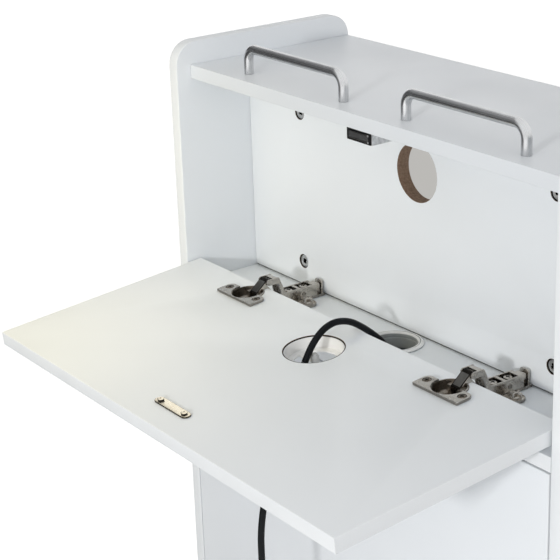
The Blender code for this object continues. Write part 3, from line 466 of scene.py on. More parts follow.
def brushing_group():
    """Fine lines along one direction: noise on coordinates that are pressed together across it."""
    sockets = {"Vector": VECTOR, "Stretch": VECTOR, "Clean": NUMBER, "Handled": NUMBER, "Depth": NUMBER}
    tree, given, made = new_group("brushing", sockets, {"Roughness": NUMBER, "Normal": VECTOR})
    product = {0: given["Vector"], 1: given["Stretch"]}
    drawn = add_node(tree, "ShaderNodeVectorMath", product, operation="MULTIPLY").outputs["Vector"]
    lines = noise(tree, drawn, 1.0, 3.0, 0.3, 0.7)
    ends = {"Value": lines, "To Min": given["Clean"], "To Max": given["Handled"]}
    tree.links.new(add_node(tree, "ShaderNodeMapRange", ends).outputs["Result"], made["Roughness"])
    bump = add_node(tree, "ShaderNodeBump", {"Strength": 1.0, "Distance": given["Depth"], "Height": lines})
    tree.links.new(bump.outputs["Normal"], made["Normal"])
    return tree


TONE_DRIFT, FINE_GRAIN = tone_drift_group(), fine_grain_group()
HANDLED, BRUSHING = handled_group(), brushing_group()
print("node groups:", ", ".join(group.name for group in bpy.data.node_groups))

# %% [markdown]
# ## Finishes
#
# Each finish is a Principled shader fed by the groups. Values that are the same all over, such as how
# metallic a surface is, are set on the shader itself. Boards and castings read object coordinates. Bars
# and the lead read their lie, so that brushing and drawing lines run along them round every bend.

# %% Make the finishes
def place_group(tree, group, **values):
    """A group in a material, with its inputs set or linked."""
    return add_node(tree, "ShaderNodeGroup", values, node_tree=group).outputs


def finish(name, light, dark, patch, sheen, grain, depth, metallic=0.0, drawn=None, specular=0.5):
    """Two tones, a range of roughness and a grain, or lines brushed along its lie if drawn is given."""
    made = bpy.data.materials.new(name)
    made.use_nodes = True
    tree = made.node_tree
    shader = tree.nodes["Principled BSDF"]
    shader.inputs["Metallic"].default_value = metallic
    shader.inputs["Specular IOR Level"].default_value = specular
    ends = {"Clean": sheen[0], "Handled": sheen[1]}
    if drawn:
        where = add_node(tree, "ShaderNodeAttribute", attribute_name="lie").outputs["Vector"]
        lines = place_group(tree, BRUSHING, Vector=where, Stretch=drawn, Depth=depth, **ends)
        roughness, normal = lines["Roughness"], lines["Normal"]
    else:
        where = add_node(tree, "ShaderNodeTexCoord").outputs["Object"]
        roughness = place_group(tree, HANDLED, Vector=where, Patch=3 * patch, **ends)["Roughness"]
        normal = place_group(tree, FINE_GRAIN, Vector=where, Grain=grain, Depth=depth)["Normal"]
    tones = {"Light": (*light, 1.0), "Dark": (*dark, 1.0)}
    colour = place_group(tree, TONE_DRIFT, Vector=where, Patch=patch, **tones)["Color"]
    tree.links.new(colour, shader.inputs["Base Color"])
    tree.links.new(roughness, shader.inputs["Roughness"])
    tree.links.new(normal, shader.inputs["Normal"])
    return made


def metal(*values, **settings):
    """A finish of bare or plated metal."""
    return finish(*values, metallic=1.0, **settings)


# Each finish: light tone, dark tone, patches, range of roughness, grains, depth of the grain in metres
laminate = finish("white laminate", (0.78, 0.81, 0.84), (0.76, 0.79, 0.82), 5, (0.30, 0.42), 1500, 2e-5)
core = finish("raw board core", (0.26, 0.175, 0.12), (0.17, 0.11, 0.072), 420, (0.8, 0.95), 1600, 1.2e-4)
band = finish("edge band", (0.78, 0.805, 0.825), (0.76, 0.785, 0.805), 9, (0.36, 0.46), 900, 1.5e-5)
satin = metal("satin bar", (0.68, 0.69, 0.70), (0.58, 0.588, 0.596), 60, (0.24, 0.34), 0, 3e-6,
              drawn=(900, 900, 9))
nickel = metal("nickel plate", (0.50, 0.47, 0.43), (0.47, 0.44, 0.40), 60, (0.22, 0.30), 2600, 4e-7)
nickel_edge = metal("nickel edge", (0.30, 0.285, 0.26), (0.26, 0.245, 0.225), 90, (0.26, 0.36), 2600, 4e-7)
dark_nickel = metal("dark nickel", (0.21, 0.206, 0.193), (0.175, 0.171, 0.161), 110, (0.28, 0.38), 2400,
                    6e-7)
# Painted shade: a darker copy of the nickel for the bowl's inside and the lugs in it
cup_inside_shade = metal("inside of the cup", (0.36, 0.325, 0.285), (0.27, 0.245, 0.215), 160, (0.25, 0.4), 2000,
                   1e-6)
bronze = metal("bronzed screw", (0.24, 0.20, 0.16), (0.15, 0.125, 0.10), 200, (0.3, 0.42), 2000, 5e-6)
brass = metal("pale brass", (1.0, 0.925, 0.74), (0.97, 0.87, 0.67), 120, (0.22, 0.32), 2200, 1e-6)
# Painted shade: near-black for the strike plate's cut edge
brass_edge_shade = metal("brass edge", (0.06, 0.046, 0.028), (0.035, 0.027, 0.017), 120, (0.3, 0.45), 2200, 4e-6)
white_plastic = finish("white plastic", (0.83, 0.83, 0.82), (0.80, 0.80, 0.79), 40, (0.16, 0.26), 1800, 5e-6)
pale_grey = finish("pale grey plastic", (0.46, 0.47, 0.47), (0.40, 0.41, 0.41), 60, (0.3, 0.42), 1800, 8e-6)
# Grey plastic for the grommet's sleeve, and painted shade on its rim and in its groove
grey_plastic_and_shade = finish("grey plastic", (0.42, 0.445, 0.445), (0.35, 0.37, 0.37), 60, (0.3, 0.42), 1800, 8e-6)
black_plastic = finish("black plastic", (0.012, 0.012, 0.013), (0.007, 0.007, 0.008), 90, (0.32, 0.46), 2200,
                       1e-5, specular=0.2)
black_sheath = finish("black sheath", (0.006, 0.0075, 0.009), (0.004, 0.005, 0.006), 30, (0.32, 0.44), 0,
                      6e-6, drawn=(700, 700, 20), specular=0.13)
rubber = finish("grey rubber", (0.062, 0.062, 0.066), (0.042, 0.042, 0.046), 70, (0.55, 0.72), 1500, 4e-5)
zinc = metal("cast zinc", (0.80, 0.80, 0.79), (0.66, 0.66, 0.65), 240, (0.28, 0.42), 1900, 1e-6)
# Painted shade: near-black metal that darkens screw recesses, sink holes, gaps and edges where shade falls
recess = metal("recess in metal", (0.03, 0.027, 0.024), (0.015, 0.014, 0.012), 300, (0.5, 0.7), 2000, 1e-5)
channel = metal("mill aluminium", (0.74, 0.74, 0.74), (0.46, 0.46, 0.465), 220, (0.28, 0.42), 1700, 2e-6)
# Painted shade: a darker copy of the edge band for the shelf's front edge
shaded_shelf_band = finish("shelf edge band with painted shade", (0.69, 0.72, 0.75), (0.67, 0.70, 0.73), 9, (0.36, 0.46), 900, 1.5e-5)
# Painted shade: near-black for the set-back foot that fills a joint
joint_shade = finish("painted joint shade", (0.045, 0.047, 0.050), (0.030, 0.031, 0.033), 80, (0.6, 0.8), 900, 1e-5)
magnet_black = finish("magnet", (0.055, 0.057, 0.058), (0.035, 0.036, 0.037), 160, (0.4, 0.55), 1800, 8e-6)
hub_plastic = finish("grey hub plastic", (0.38, 0.385, 0.39), (0.33, 0.335, 0.34), 60, (0.34, 0.46), 1800,
                     1.2e-5)
BOARD_FINISHES = [laminate, core, band, joint_shade]
SHELF_FINISHES = [laminate, core, shaded_shelf_band]
print(len(bpy.data.materials), "materials")

# %% [markdown]
# ## The camera
#
# The camera stands in front of the trolley and to its right, a little above the top, and looks down on
# the open flap. Its place and its three turns were found by fitting corners of the boards to the
# photograph. It could aim at a target, but three named angles say the same with nothing hidden.

# %% Set up the camera
CAMERA_PLACE = (1.2128, -0.9500, 1.2476)
CAMERA_YAW, CAMERA_PITCH, CAMERA_ROLL = 54.7353, 20.3480, 2.0487
PHOTO_SIDE = 560
FOCAL_PIXELS = 1682.22
SENSOR = 36.0

yaw, pitch, roll = np.radians([CAMERA_YAW, CAMERA_PITCH, CAMERA_ROLL])
forward = Vector((-math.sin(yaw) * math.cos(pitch), math.cos(yaw) * math.cos(pitch), -math.sin(pitch)))
level = Vector((math.cos(yaw), math.sin(yaw), 0))
down = forward.cross(level)
right = level * math.cos(roll) + down * math.sin(roll)
up = level * math.sin(roll) - down * math.cos(roll)
camera = bpy.data.objects.new("camera", bpy.data.cameras.new("camera"))
camera.matrix_world = at(*CAMERA_PLACE) @ Matrix((right, up, -forward)).transposed().to_4x4()
camera.data.sensor_width = SENSOR
camera.data.lens = SENSOR * FOCAL_PIXELS / PHOTO_SIDE
bpy.context.scene.collection.objects.link(camera)
bpy.context.scene.camera = camera
print(f"lens {camera.data.lens:.1f} mm")

# %% [markdown]
# ## The power lead
#
# The lead is one black round cable of fixed length. It leaves a strain relief on a junction box under
# the floor, rises through the grommet, arches over the flap's edge, drops through the flap's hole and
# hangs to the ground, where the spare length is coiled out of view and ends in a plug. Physics could
# drop it there, but the route in the photograph is known, so it is a smooth curve through chosen
# points. It is made in two stretches that meet in the flap's hole: one runs from the cabinet to the
# flap, the other from the flap to the ground.

# %% The lead's route
LEAD_DIAMETER, LEAD_STEP = 0.0068, 0.003
# Points as (x, y from the front plane, height)
UPPER_ROUTE = [
    (0, 0.0520, 0.5755),
    (0, 0.0520, 0.5835),
    (0, 0.0505, 0.5920),
    (0, 0.0462, 0.6005),
    (0, 0.0395, 0.6075),
    (0, 0.0300, 0.6160),
    (0, 0.0185, 0.6250),
    (0, 0.0070, 0.6322),
    (0, -0.0040, 0.6360),
    (0, -0.0150, 0.6368),
    (0, -0.0255, 0.6338),
    (0, -0.0345, 0.6275),
    (0, -0.0415, 0.6198),
    (0, -0.0470, 0.6113),
    (0, -0.0505, 0.6050),
]
LOWER_ROUTE = [
    (0, -0.0507, 0.6047),
    (0, -0.0545, 0.5975),
    (0, -0.0625, 0.5810),
    (0, -0.0735, 0.5570),
    (0, -0.0860, 0.5270),
    (0, -0.0970, 0.4970),
    (0, -0.1060, 0.4650),
    (0, -0.1100, 0.4380),
    (0, -0.1105, 0.4100),
    (0, -0.1095, 0.3700),
    (0, -0.1090, 0.3000),
    (0, -0.1090, 0.2200),
    (0, -0.1090, 0.1400),
    (-0.0010, -0.1090, 0.0950),
    (-0.0050, -0.1090, 0.0600),
    (-0.0150, -0.1092, 0.0290),
    (-0.0310, -0.1096, 0.0100),
    (-0.0460, -0.1099, 0.0045),
]
COIL_CENTRE = (-0.080, front_plane - 0.156)
COIL_RADIUS = 0.046
COIL_PITCH = 0.0074
COIL_TURNS = 2
COIL_STEPS = 96


def smooth_curve(route, step):
    """A cubic through the points, each stretch blended from straight lines between four points whose knots
    are the summed square roots of the chords, then read off at even steps of its length."""
    given = np.array(route, float)
    given = np.vstack([2 * given[0] - given[1], given, 2 * given[-1] - given[-2]])
    knots = length_run(given, 0.5)
    p = [given[first : len(given) - 3 + first, None] for first in range(4)]
    k = [knots[first : len(knots) - 3 + first, None, None] for first in range(4)]
    t = k[1] + (k[2] - k[1]) * np.linspace(0, 1, 24, endpoint=False)[None, :, None]
    line = [(p[i] * (k[i + 1] - t) + p[i + 1] * (t - k[i])) / (k[i + 1] - k[i]) for i in range(3)]
    bow = [(line[i] * (k[i + 2] - t) + line[i + 1] * (t - k[i])) / (k[i + 2] - k[i]) for i in range(2)]
    fine = (bow[0] * (k[2] - t) + bow[1] * (t - k[1])) / (k[2] - k[1])
    fine = np.vstack([fine.reshape(-1, 3), given[-2]])
    run = length_run(fine)
    even = np.linspace(0, run[-1], round(run[-1] / step) + 1)
    return np.column_stack([np.interp(even, run, fine[:, axis]) for axis in range(3)])


def coil_path():
    """Loops that spiral in by a pitch a turn, climb one layer over the half turn where they reverse, and
    spiral out again, with one straight diameter at each end."""
    turns = np.arange(COIL_STEPS * (4 * COIL_TURNS + 1) // 2 + 1) / COIL_STEPS
    radius = COIL_RADIUS - COIL_PITCH * np.minimum(turns, turns[-1] - turns)
    climb = np.clip((turns - COIL_TURNS) * 2, 0, 1)
    height = LEAD_DIAMETER / 2 + SEAT + COIL_PITCH * climb**2 * (3 - 2 * climb)
    angle = QUARTER + 2 * np.pi * turns
    x, y = COIL_CENTRE[0] + radius * np.cos(angle), COIL_CENTRE[1] + radius * np.sin(angle)
    loops = np.column_stack([x, y, height])
    straight = (LEAD_DIAMETER, 0, 0)
    return np.vstack([loops[0] + straight, loops, loops[-1] + straight])


shift = (0, front_plane, 0)
coil = coil_path()
upper_path = smooth_curve(np.array(UPPER_ROUTE) + shift, LEAD_STEP)
to_coil = np.vstack([np.array(LOWER_ROUTE) + shift, coil[0]])
lower_path = np.vstack([smooth_curve(to_coil, LEAD_STEP), coil[1:]])

# %% Strain relief, plug and tie
def ribbed_boot():
    """A tapered sleeve whose radius falls from collar to tip, less a cosine of six grooves on the way."""
    low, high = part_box("lead_boot")
    length, collar, collar_radius = high.z - low.z, 0.005, 0.0075
    tip_radius = LEAD_DIAMETER / 2 + 0.0007
    height = np.linspace(0, length, 80)
    share = np.clip((height - collar) / (length - collar), 0, 1)
    radius = collar_radius + (tip_radius - collar_radius) * share
    radius -= 0.00045 * (1 - np.cos(12 * np.pi * share)) * (share > 0)
    profile = np.vstack([(0, 0), (0.0072, 0), np.column_stack([radius, height])[1:], (0, length)])
    shape = lathe(profile, 40).moved(at(0, (low.y + high.y) / 2, low.z))
    return piece("strain_relief", shape, [black_plastic], "carcass", ["lead_boot"])


def rings_between(height, start, end, pitch, depth):
    """Shallow rings: the depth times (1 - cos) of the height over the pitch, between two heights."""
    wave = depth * (1 - np.cos(2 * np.pi * (height - start) / pitch))
    return np.where((height > start) & (height < end), wave, 0)


def moulded_plug():
    """A turned plug: a ribbed sleeve, a shoulder and a grip of shallow rings, with two round pins."""
    low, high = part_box("lead_plug")
    pin, pin_length, spacing, body = 0.002, 0.019, 0.010, 0.045
    height = np.linspace(0, body, 120)
    knots = [0, 0.0155, 0.0225, body - 0.0012, body]
    radius = np.interp(height, knots, [0.0038, 0.0049, 0.0104, 0.0105, 0.0095])
    radius -= rings_between(height, 0.025, 0.040, 0.003, 0.0004)
    radius -= rings_between(height, 0.001, 0.0145, 0.0027, 0.0002)
    shape = lathe(np.vstack([(0, 0), np.column_stack([radius, height]), (0, body)]), 48)
    tip = turned([(0, -pin), (pin, -pin), (pin, pin_length), (0, pin_length)], [0, 0, 0.0012, 0], 24, 1)
    for side in (-1, 1):
        shape += tip.moved(at(0, side * spacing / 2, body))
    place = at(low.x, (low.y + high.y) / 2, (low.z + high.z) / 2) @ Matrix.Rotation(QUARTER, 4, "Y")
    finishes = [black_plastic, nickel]
    return piece("mains_plug", shape.moved(place), finishes, "carcass", ["lead_plug"])


def coil_tie():
    """A thin strap round the coil's section: a rounded rectangle in the plane of the coil's radius and
    height."""
    thickness, width, play, corner = 0.00025, 0.007, 0.0042, 0.004
    low, high = COIL_RADIUS - 2 * COIL_PITCH - play, COIL_RADIUS - 0.5 * COIL_PITCH + play
    top = COIL_PITCH + LEAD_DIAMETER + SEAT + 0.0006
    loop = rounded(rectangle((low, thickness), (high, top)), corner)
    path = np.column_stack([np.zeros(len(loop)), -loop[:, 0], loop[:, 1]]) + (*COIL_CENTRE, 0)
    section = rectangle((-width / 2, -thickness / 2), (width / 2, thickness / 2))
    shape = sweep(path, section, (1, 0, 0), ring=True)
    return piece("coil_tie", shape, [black_plastic], "carcass")


print("makers of the pieces on the lead")

# %% Junction box and lead
# A screw is given by its head's radius, its height and the depth of its recess
LID_SCREW = (0.0028, 0.0009, 0.0008)
LAY_FROM, LAY_OVER = 0.06, 0.045


def junction_box():
    """A moulded box in two shells with a seam between them and four screws in its lid."""
    low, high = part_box("junction_box")
    gap, inset, edge = 0.0004, 0.0006, 0.0012
    seam = low.z + 0.7 * (high.z - low.z)
    shape = block(low, high, 0.003, low.z, seam - gap, edge)
    shape += block(low, high, 0.003, seam + gap, high.z, edge)
    waist_low, waist_high = (low.x + inset, low.y + inset), (high.x - inset, high.y - inset)
    shape += block(waist_low, waist_high, 0.0026, seam - 0.002, seam + 0.002, FINE_EDGE)
    head = screw_head(*LID_SCREW)
    for x, y in four_places(low, high, 0.007):
        shape += head.painted(head.kinds + 1).moved(at(x, y, high.z))
    finishes = [black_plastic, zinc, recess]
    return piece("cable_junction_box", shape, finishes, "carcass", ["junction_box"])


def lead():
    """The two stretches of the lead and the pieces on them."""
    section = circle((0, 0), LEAD_DIAMETER / 2, 20)
    shape = sweep(upper_path, section, (1, 0, 0))
    over = piece("lead_over_flap", shape, [black_sheath], None, ["lead_upper"])
    # The section's reference turns from the depth to the height where the lead comes to lie down
    lay = np.clip((LAY_FROM - lower_path[:, 2:]) / LAY_OVER, 0, 1)
    shape = sweep(lower_path, section, (1 - lay) * (0, 1, 0) + lay * (0, 0, 1))
    nodes = ["lead_lower", "lead_coil"]
    hanging = piece("lead_to_plug", shape, [black_sheath], None, nodes)
    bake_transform(over)
    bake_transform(hanging)
    ribbed_boot()
    moulded_plug()
    coil_tie()


junction_box()
lead()
print("lead with strain relief, plug and tie")

# %% [markdown]
# ## The boards
#
# The cabinet is 15 mm particle board with white laminate faces and a glued edge band. A cube with a
# bevel would do for a plain board, but here outlines have round corners, a cable hole that shows the
# brown core, and blind holes for fittings, so each board is a slab over its own outline. The band is a
# finish of its own, which lets a fine line show where it meets the faces.

# %% Board makers
JOINT_GAP, JOINT_LAP, JOINT_INSET = 0.0012, 0.002, 0.001
FACINGS = {"up": Matrix.Identity(4), "front": TO_FRONT, "right": TO_RIGHT}


def local_box(node, facing):
    """A node's lowest and highest corners in the frame of a slab that faces up, to the front or to the
    right."""
    turn = np.array(FACINGS[facing])[:3, :3]
    corners = np.array(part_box(node)) @ turn
    return corners.min(axis=0), corners.max(axis=0)


def board(name, node, facing, body="carcass", radii=0.0, edge=WIDE_EDGE, joint=0.0,
          finishes=BOARD_FINISHES, **cuts):
    """A rectangular board over its node's own box, with round corners, holes and pockets where given. In a
    joint the faces end a little above the board below, and a foot that is set back fills the rest, painted
    near-black as the shade in the joint."""
    low, high = local_box(node, facing)
    foot = (low[0] + JOINT_INSET, low[1]), (high[0] - JOINT_INSET, low[1] + joint + JOINT_LAP)
    low[1] += joint
    shape = slab(rounded(rectangle(low, high), radii), low[2], high[2], edge, **cuts)
    # The foot in a joint is painted near-black as shade
    if joint:
        shape += block(*foot, 0, low[2] + JOINT_INSET, high[2] - JOINT_GAP, FINE_EDGE / 2, JOINT_SHADE)
    return piece(name, shape.moved(FACINGS[facing]), finishes, body, [node])


print("boards face", ", ".join(FACINGS))

# %% The cabinet's boards
SIDE_CORNER_RADIUS = 0.025
CABLE_HOLE_RADIUS, CABLE_HOLE_DROP = 0.030, 0.0727
GROMMET_SETBACK, GROMMET_HOLE_RADIUS = 0.062, 0.0263
CAM_RADIUS, CAM_POCKET_DEPTH, CAM_FROM_SIDE = 0.0078, 0.0115, 0.093
CAM_DROPS = (0.0485, 0.2165)

cam_x = inner_half - CAM_FROM_SIDE
cam_places = [(side * cam_x, shelf_top - drop) for side in (-1, 1) for drop in CAM_DROPS]
back_face = -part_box("compartment_back")[0].y
cam_pockets = [(circle(place, CAM_RADIUS, 40), back_face - CAM_POCKET_DEPTH) for place in cam_places]
cable_hole = circle((0, shelf_top - CABLE_HOLE_DROP), CABLE_HOLE_RADIUS, 96)
grommet_hole = circle((0, front_plane + GROMMET_SETBACK), GROMMET_HOLE_RADIUS)

side_radii = (0, 0, SIDE_CORNER_RADIUS, SIDE_CORNER_RADIUS)
board("left_side_board", "left_side_panel", "right", radii=side_radii)
board("right_side_board", "right_side_panel", "right", radii=side_radii)
board("shelf_board", "top_shelf", "up", finishes=SHELF_FINISHES)
board("back_board", "compartment_back", "front", joint=JOINT_GAP, holes=[cable_hole], pockets=cam_pockets)
board("floor_board", "compartment_floor", "up", holes=[grommet_hole])
board("bottom_board", "bottom_panel", "up")
board("front_board", "lower_front_panel", "front")
print("seven boards, the back one with", len(cam_pockets), "pockets for cam locks")

# %% [markdown]
# ## The flap
#
# The flap is one more board, laid on its own slightly tilted frame with its hinged edge at the origin.
# It has a hole for the cable and two blind holes for the hinge cups.

# %% The flap's board
FLAP_LENGTH, FLAP_HALF = 0.251, inner_half - 0.0025
FLAP_HOLE_RADIUS, FLAP_HOLE_FROM_EDGE = 0.031, 0.056
HINGE_FROM_SIDE, CUP_FROM_EDGE, CUP_RADIUS, CUP_DEPTH = 0.125, 0.0223, 0.0175, 0.0125
hinge_x = inner_half - HINGE_FROM_SIDE

flap_hole = circle((0, -FLAP_HOLE_FROM_EDGE), FLAP_HOLE_RADIUS, 96)
cup_holes = [circle((side * hinge_x, -CUP_FROM_EDGE), CUP_RADIUS + SEAT) for side in (-1, 1)]
cup_pockets = [(hole, -CUP_DEPTH - SEAT) for hole in cup_holes]
flap_outline = rectangle((-FLAP_HALF, -FLAP_LENGTH), (FLAP_HALF, 0))
flap_shape = slab(np.array(flap_outline), -BOARD, 0, WIDE_EDGE, [flap_hole], cup_pockets)
piece("flap_board", flap_shape.moved(on_flap), BOARD_FINISHES, "flap", ["flap_panel"])
print("flap board")

# %% [markdown]
# ## Bar handles
#
# The four handles are round bar bent at both ends, two on the top and one on each drawer. A handle is a
# circle swept along straight lines with round corners. From below, each leg is held by a screw through
# the board.

# %% Handles and their screws
HANDLE_RADIUS, HANDLE_HALF, HANDLE_HEIGHT, HANDLE_BEND = 0.005, 0.080, 0.032, 0.015
PAN_HEAD_RADIUS, PAN_HEAD_HEIGHT, WASHER_RADIUS, WASHER_HEIGHT = 0.0046, 0.0022, 0.00621, 0.0006


def middle_of(node):
    """The middle of a node's box."""
    low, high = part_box(node)
    return (low + high) / 2


def pan_screw():
    """A screw head with a thin washer under it."""
    washer = [(0, 0), (WASHER_RADIUS, 0), (WASHER_RADIUS, WASHER_HEIGHT), (0, WASHER_HEIGHT)]
    head = screw_head(PAN_HEAD_RADIUS, PAN_HEAD_HEIGHT, 0.6 * PAN_HEAD_HEIGHT)
    return turned(washer, [0, 0.0002, 0.0002, 0], 40) + head.moved(at(z=WASHER_HEIGHT + 0.0001))


def bar_handle(name, node, place, body):
    """A bent bar standing on a face at the origin, its legs along x, and two screws behind the board."""
    top, half = HANDLE_HEIGHT - HANDLE_RADIUS, HANDLE_HALF
    corners = [(half, 0, SEAT), (half, 0, top), (-half, 0, top), (-half, 0, SEAT)]
    path = rounded(corners, HANDLE_BEND, closed=False, steps=16)
    bar = sweep(path, circle((0, 0), HANDLE_RADIUS, 32), (0, 1, 0))
    piece(name, bar.moved(place), [satin], body, [node])
    screws = [pan_screw().moved(place @ at(x, 0, -BOARD) @ TURN_OVER) for x in (-half, half)]
    piece(f"{name}_screws", screws[0] + screws[1], [zinc, recess], body)


for hand in ("left", "right"):
    node = f"top_handle_{hand}"
    middle = middle_of(node)
    bar_handle(f"{hand}_top_bar", node, at(middle.x, middle.y, shelf_top), "carcass")
for word in ("upper", "lower"):
    node = f"{word}_drawer_handle"
    middle = middle_of(node)
    bar_handle(f"{word}_pull", node, at(middle.x, rear_plane, middle.z) @ TO_REAR, f"{word}_drawer")
print("four handles with two screws each")

# %% [markdown]
# ## Cable openings and cam locks
#
# A white plastic grommet lines the hole in the floor, and a liner with a ledge lines the hole in the
# flap. Both are turned. An arm from the liner's ledge carries a small post on which a cover would turn.
# The cam locks that hold the back board sit a little below its face: cast discs with a cross for the
# driver.

# %% Grommet, liner and cam locks
CAM_TURN, CAM_CROSS_SPREAD = Matrix.Rotation(math.radians(38), 4, "Z"), 23


def floor_grommet():
    """A turned ring: a white flange with a soft lip and a groove on the board, its outer rim and the groove
    painted grey as shade, and through it a grey sleeve with a small step."""
    low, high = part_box("floor_grommet")
    bore, sleeve, flange, top = 0.0235, 0.026, (high.x - low.x) / 2, 0.0025
    groove, groove_floor, step = bore + 0.0027, 0.0015, bore + 0.0008
    corners = [(bore, -BOARD), (sleeve, -BOARD), (sleeve, SEAT), (flange, SEAT), (flange, 0.0012),
               (flange - 0.0022, top), (groove + 0.0005, top), (groove + 0.0004, groove_floor),
               (groove - 0.0004, groove_floor), (groove - 0.0005, top), (bore + 0.0012, top), (bore, 0.0009),
               (bore, -0.002), (step, -0.0024), (step, -0.0036), (bore, -0.004)]
    radii = [0.0003, 0.0003, 0, 0, 0.0006, 0.0009, 0.0001, 0, 0, 0.0001, 0.0006, 0.0006, 0, 0, 0, 0]
    profile = rounded(corners, radii, steps=5)
    profile = np.vstack([profile, profile[:1]])
    radius, height = profile[1:].T
    # The flange's outer rim and the groove take the grey as painted shade; the sleeve inside is grey
    inside = (radius < bore + 0.001) & (height < -0.001)
    rim = (radius > flange - 0.0002) & (height < 0.0010)
    sunk = (np.abs(radius - groove) < 0.00042) & (height > 0.0010)
    shape = lathe(profile, 96, inside | rim | sunk)
    place = at((low.x + high.x) / 2, front_plane + GROMMET_SETBACK, floor_top)
    finishes = [white_plastic, grey_plastic_and_shade]
    piece("cable_grommet", shape.moved(place), finishes, "carcass", ["floor_grommet"])


def hole_liner():
    """A turned liner just below the flap's face with a thin ring in the gap round it, painted near-black as
    shade, and a ledge at its foot, and from the ledge an arm that reaches to a stepped post in the middle,
    on which a cover would turn."""
    outer, wall, ledge, sunk = FLAP_HOLE_RADIUS - SEAT, 0.0014, 0.0225, 0.0012
    inner, floor = outer - wall, 0.002 - BOARD
    corners = [(ledge, -BOARD), (outer, -BOARD), (outer, -sunk), (inner, -sunk), (inner, floor),
               (ledge, floor)]
    shape = turned_ring(corners, [0.0005, 0.0003, 0.0004, 0.0005, 0.0012, 0.0005], 96, fine=5)
    # A thin ring in the gap round the liner, painted near-black as shade
    gap = rectangle((outer - 0.0006, -0.0018), (outer, -0.0002))
    shape += turned_ring(gap, 0, 96, 2)
    arm_low, arm_high, arm_radii = (-ledge - 0.002, -0.0032), (0.0038, 0.0032), [0, 0.0031, 0.0031, 0]
    shape += block(arm_low, arm_high, arm_radii, SEAT - BOARD, floor - SEAT, THIN_EDGE)
    post = [(0, 0), (0.0046, 0), (0.0044, 0.0060), (0.0030, 0.0064), (0.0028, 0.0084), (0, 0.0084)]
    shape += turned(post, [0, 0, 0.0009, 0.0004, 0.0006, 0], 40, 1).moved(at(z=floor - 0.0005))
    place = on_flap @ at(0, -FLAP_HOLE_FROM_EDGE, 0)
    finishes = [white_plastic, pale_grey, recess]
    piece("cable_hole_liner", shape.moved(place), finishes, "flap", ["flap_liner"])


def cam_lock(name, x, z):
    """A cast disc in a black sleeve that lines its pocket and paints the shade in the gap round the disc: a
    raised rim, a sunk face and a cross for the driver, painted near-black in its recess as shade."""
    radius, sunk, bottom = CAM_RADIUS - 0.0011, 0.0011, -CAM_POCKET_DEPTH
    inner, face = radius - 0.0020, -sunk - 0.0007
    rim = [(0, bottom + 0.0005), (radius, bottom + 0.0005), (radius, -sunk), (radius - 0.0009, -sunk),
           (radius - 0.0012, face), (inner, face), (inner, bottom + 0.0020), (0, bottom + 0.0020)]
    shape = turned(rim, [0, 0, 0.0003, 0.0002, 0, 0, 0, 0], 48, fine=4)
    head = screw_head(radius - 0.0014, 0.0006, 0.0030, CAM_CROSS_SPREAD)
    shape += head.moved(at(z=face - 0.0001) @ CAM_TURN)
    # The black sleeve fills the gap round the disc as painted shade
    near, far = radius + 0.0003, CAM_RADIUS - 0.0001
    sleeve = [(near, bottom + 0.0004), (far, bottom + 0.0004), (far, -0.0003), (near, -0.0005)]
    shape += turned_ring(sleeve, 0, 48, 2)
    place = at(x, -back_face, z) @ TO_FRONT
    piece(name, shape.moved(place), [zinc, recess, black_plastic], "carcass")


floor_grommet()
hole_liner()
for number, (x, z) in enumerate(cam_places):
    cam_lock(f"cam_lock_{number + 1}", x, z)
print("grommet, liner and", len(cam_places), "cam locks")

# %% [markdown]
# ## Magnetic catch and strike plate
#
# Under the shelf an aluminium channel holds a black block with two steel pole plates. A brass plate on
# the flap meets it when the flap is shut. The channel is a slab whose outline is its section. Its front
# is set back from the node's, so that the heads of the strike plate's screws clear it.

# %% Catch and strike plate
CATCH_WALL, CATCH_SET_BACK, CATCH_FRAME = 0.0015, 0.0027, 0.0009


def magnetic_catch():
    """A U section carried along the depth; in it a magnet between two thin pole plates, behind a black
    frame."""
    (left, bottom, rear), (right, top, front) = local_box("catch_housing", "front")
    wall = CATCH_WALL
    front -= CATCH_SET_BACK
    section = [(left, bottom), (left + wall, bottom), (left + wall, top - wall), (right - wall, top - wall),
               (right - wall, bottom), (right, bottom), (right, top), (left, top)]
    shape = slab(np.array(section), rear, front, SMALL_EDGE).painted(0)
    piece("catch_channel", shape.moved(TO_FRONT), [channel], "carcass", ["catch_housing"])

    face = front + CATCH_FRAME
    deep = local_box("catch_magnet", "front")[0][2]
    near, far = (left + wall + SEAT, bottom + SEAT), (right - wall - SEAT, top - wall - SEAT)
    shape = block(near, far, 0.0004, deep, front, SMALL_EDGE)
    shape += block((left, bottom), (right - 0.0007, top), 0.0005, front + 0.0001, face, SMALL_EDGE)
    start, end = left + 0.0032, right - 0.0045
    middle, apart, plate = (bottom + top) / 2 - 0.0006, 0.0028, 0.0009
    magnet_low, magnet_high = (start, middle - apart), (end, middle + apart)
    shape += block(magnet_low, magnet_high, 0.0004, front, face + 0.0003, FINE_EDGE, 1)
    rivet = turned([(0, 0), (0.0010, 0), (0.0010, 0.0005), (0, 0.0008)], [0, 0, 0.0003, 0], 24, 3)
    for z in (middle - apart - plate / 2, middle + apart + plate / 2):
        low, high = (start, z - plate / 2), (end, z + plate / 2)
        shape += block(low, high, 0.0002, front, face + 0.0006, FINE_EDGE, 2)
        shape += rivet.moved(at(end, z, face + 0.0003))
    finishes = [black_plastic, magnet_black, dark_nickel, channel]
    piece("catch_block", shape.moved(TO_FRONT), finishes, "carcass", ["catch_magnet"])


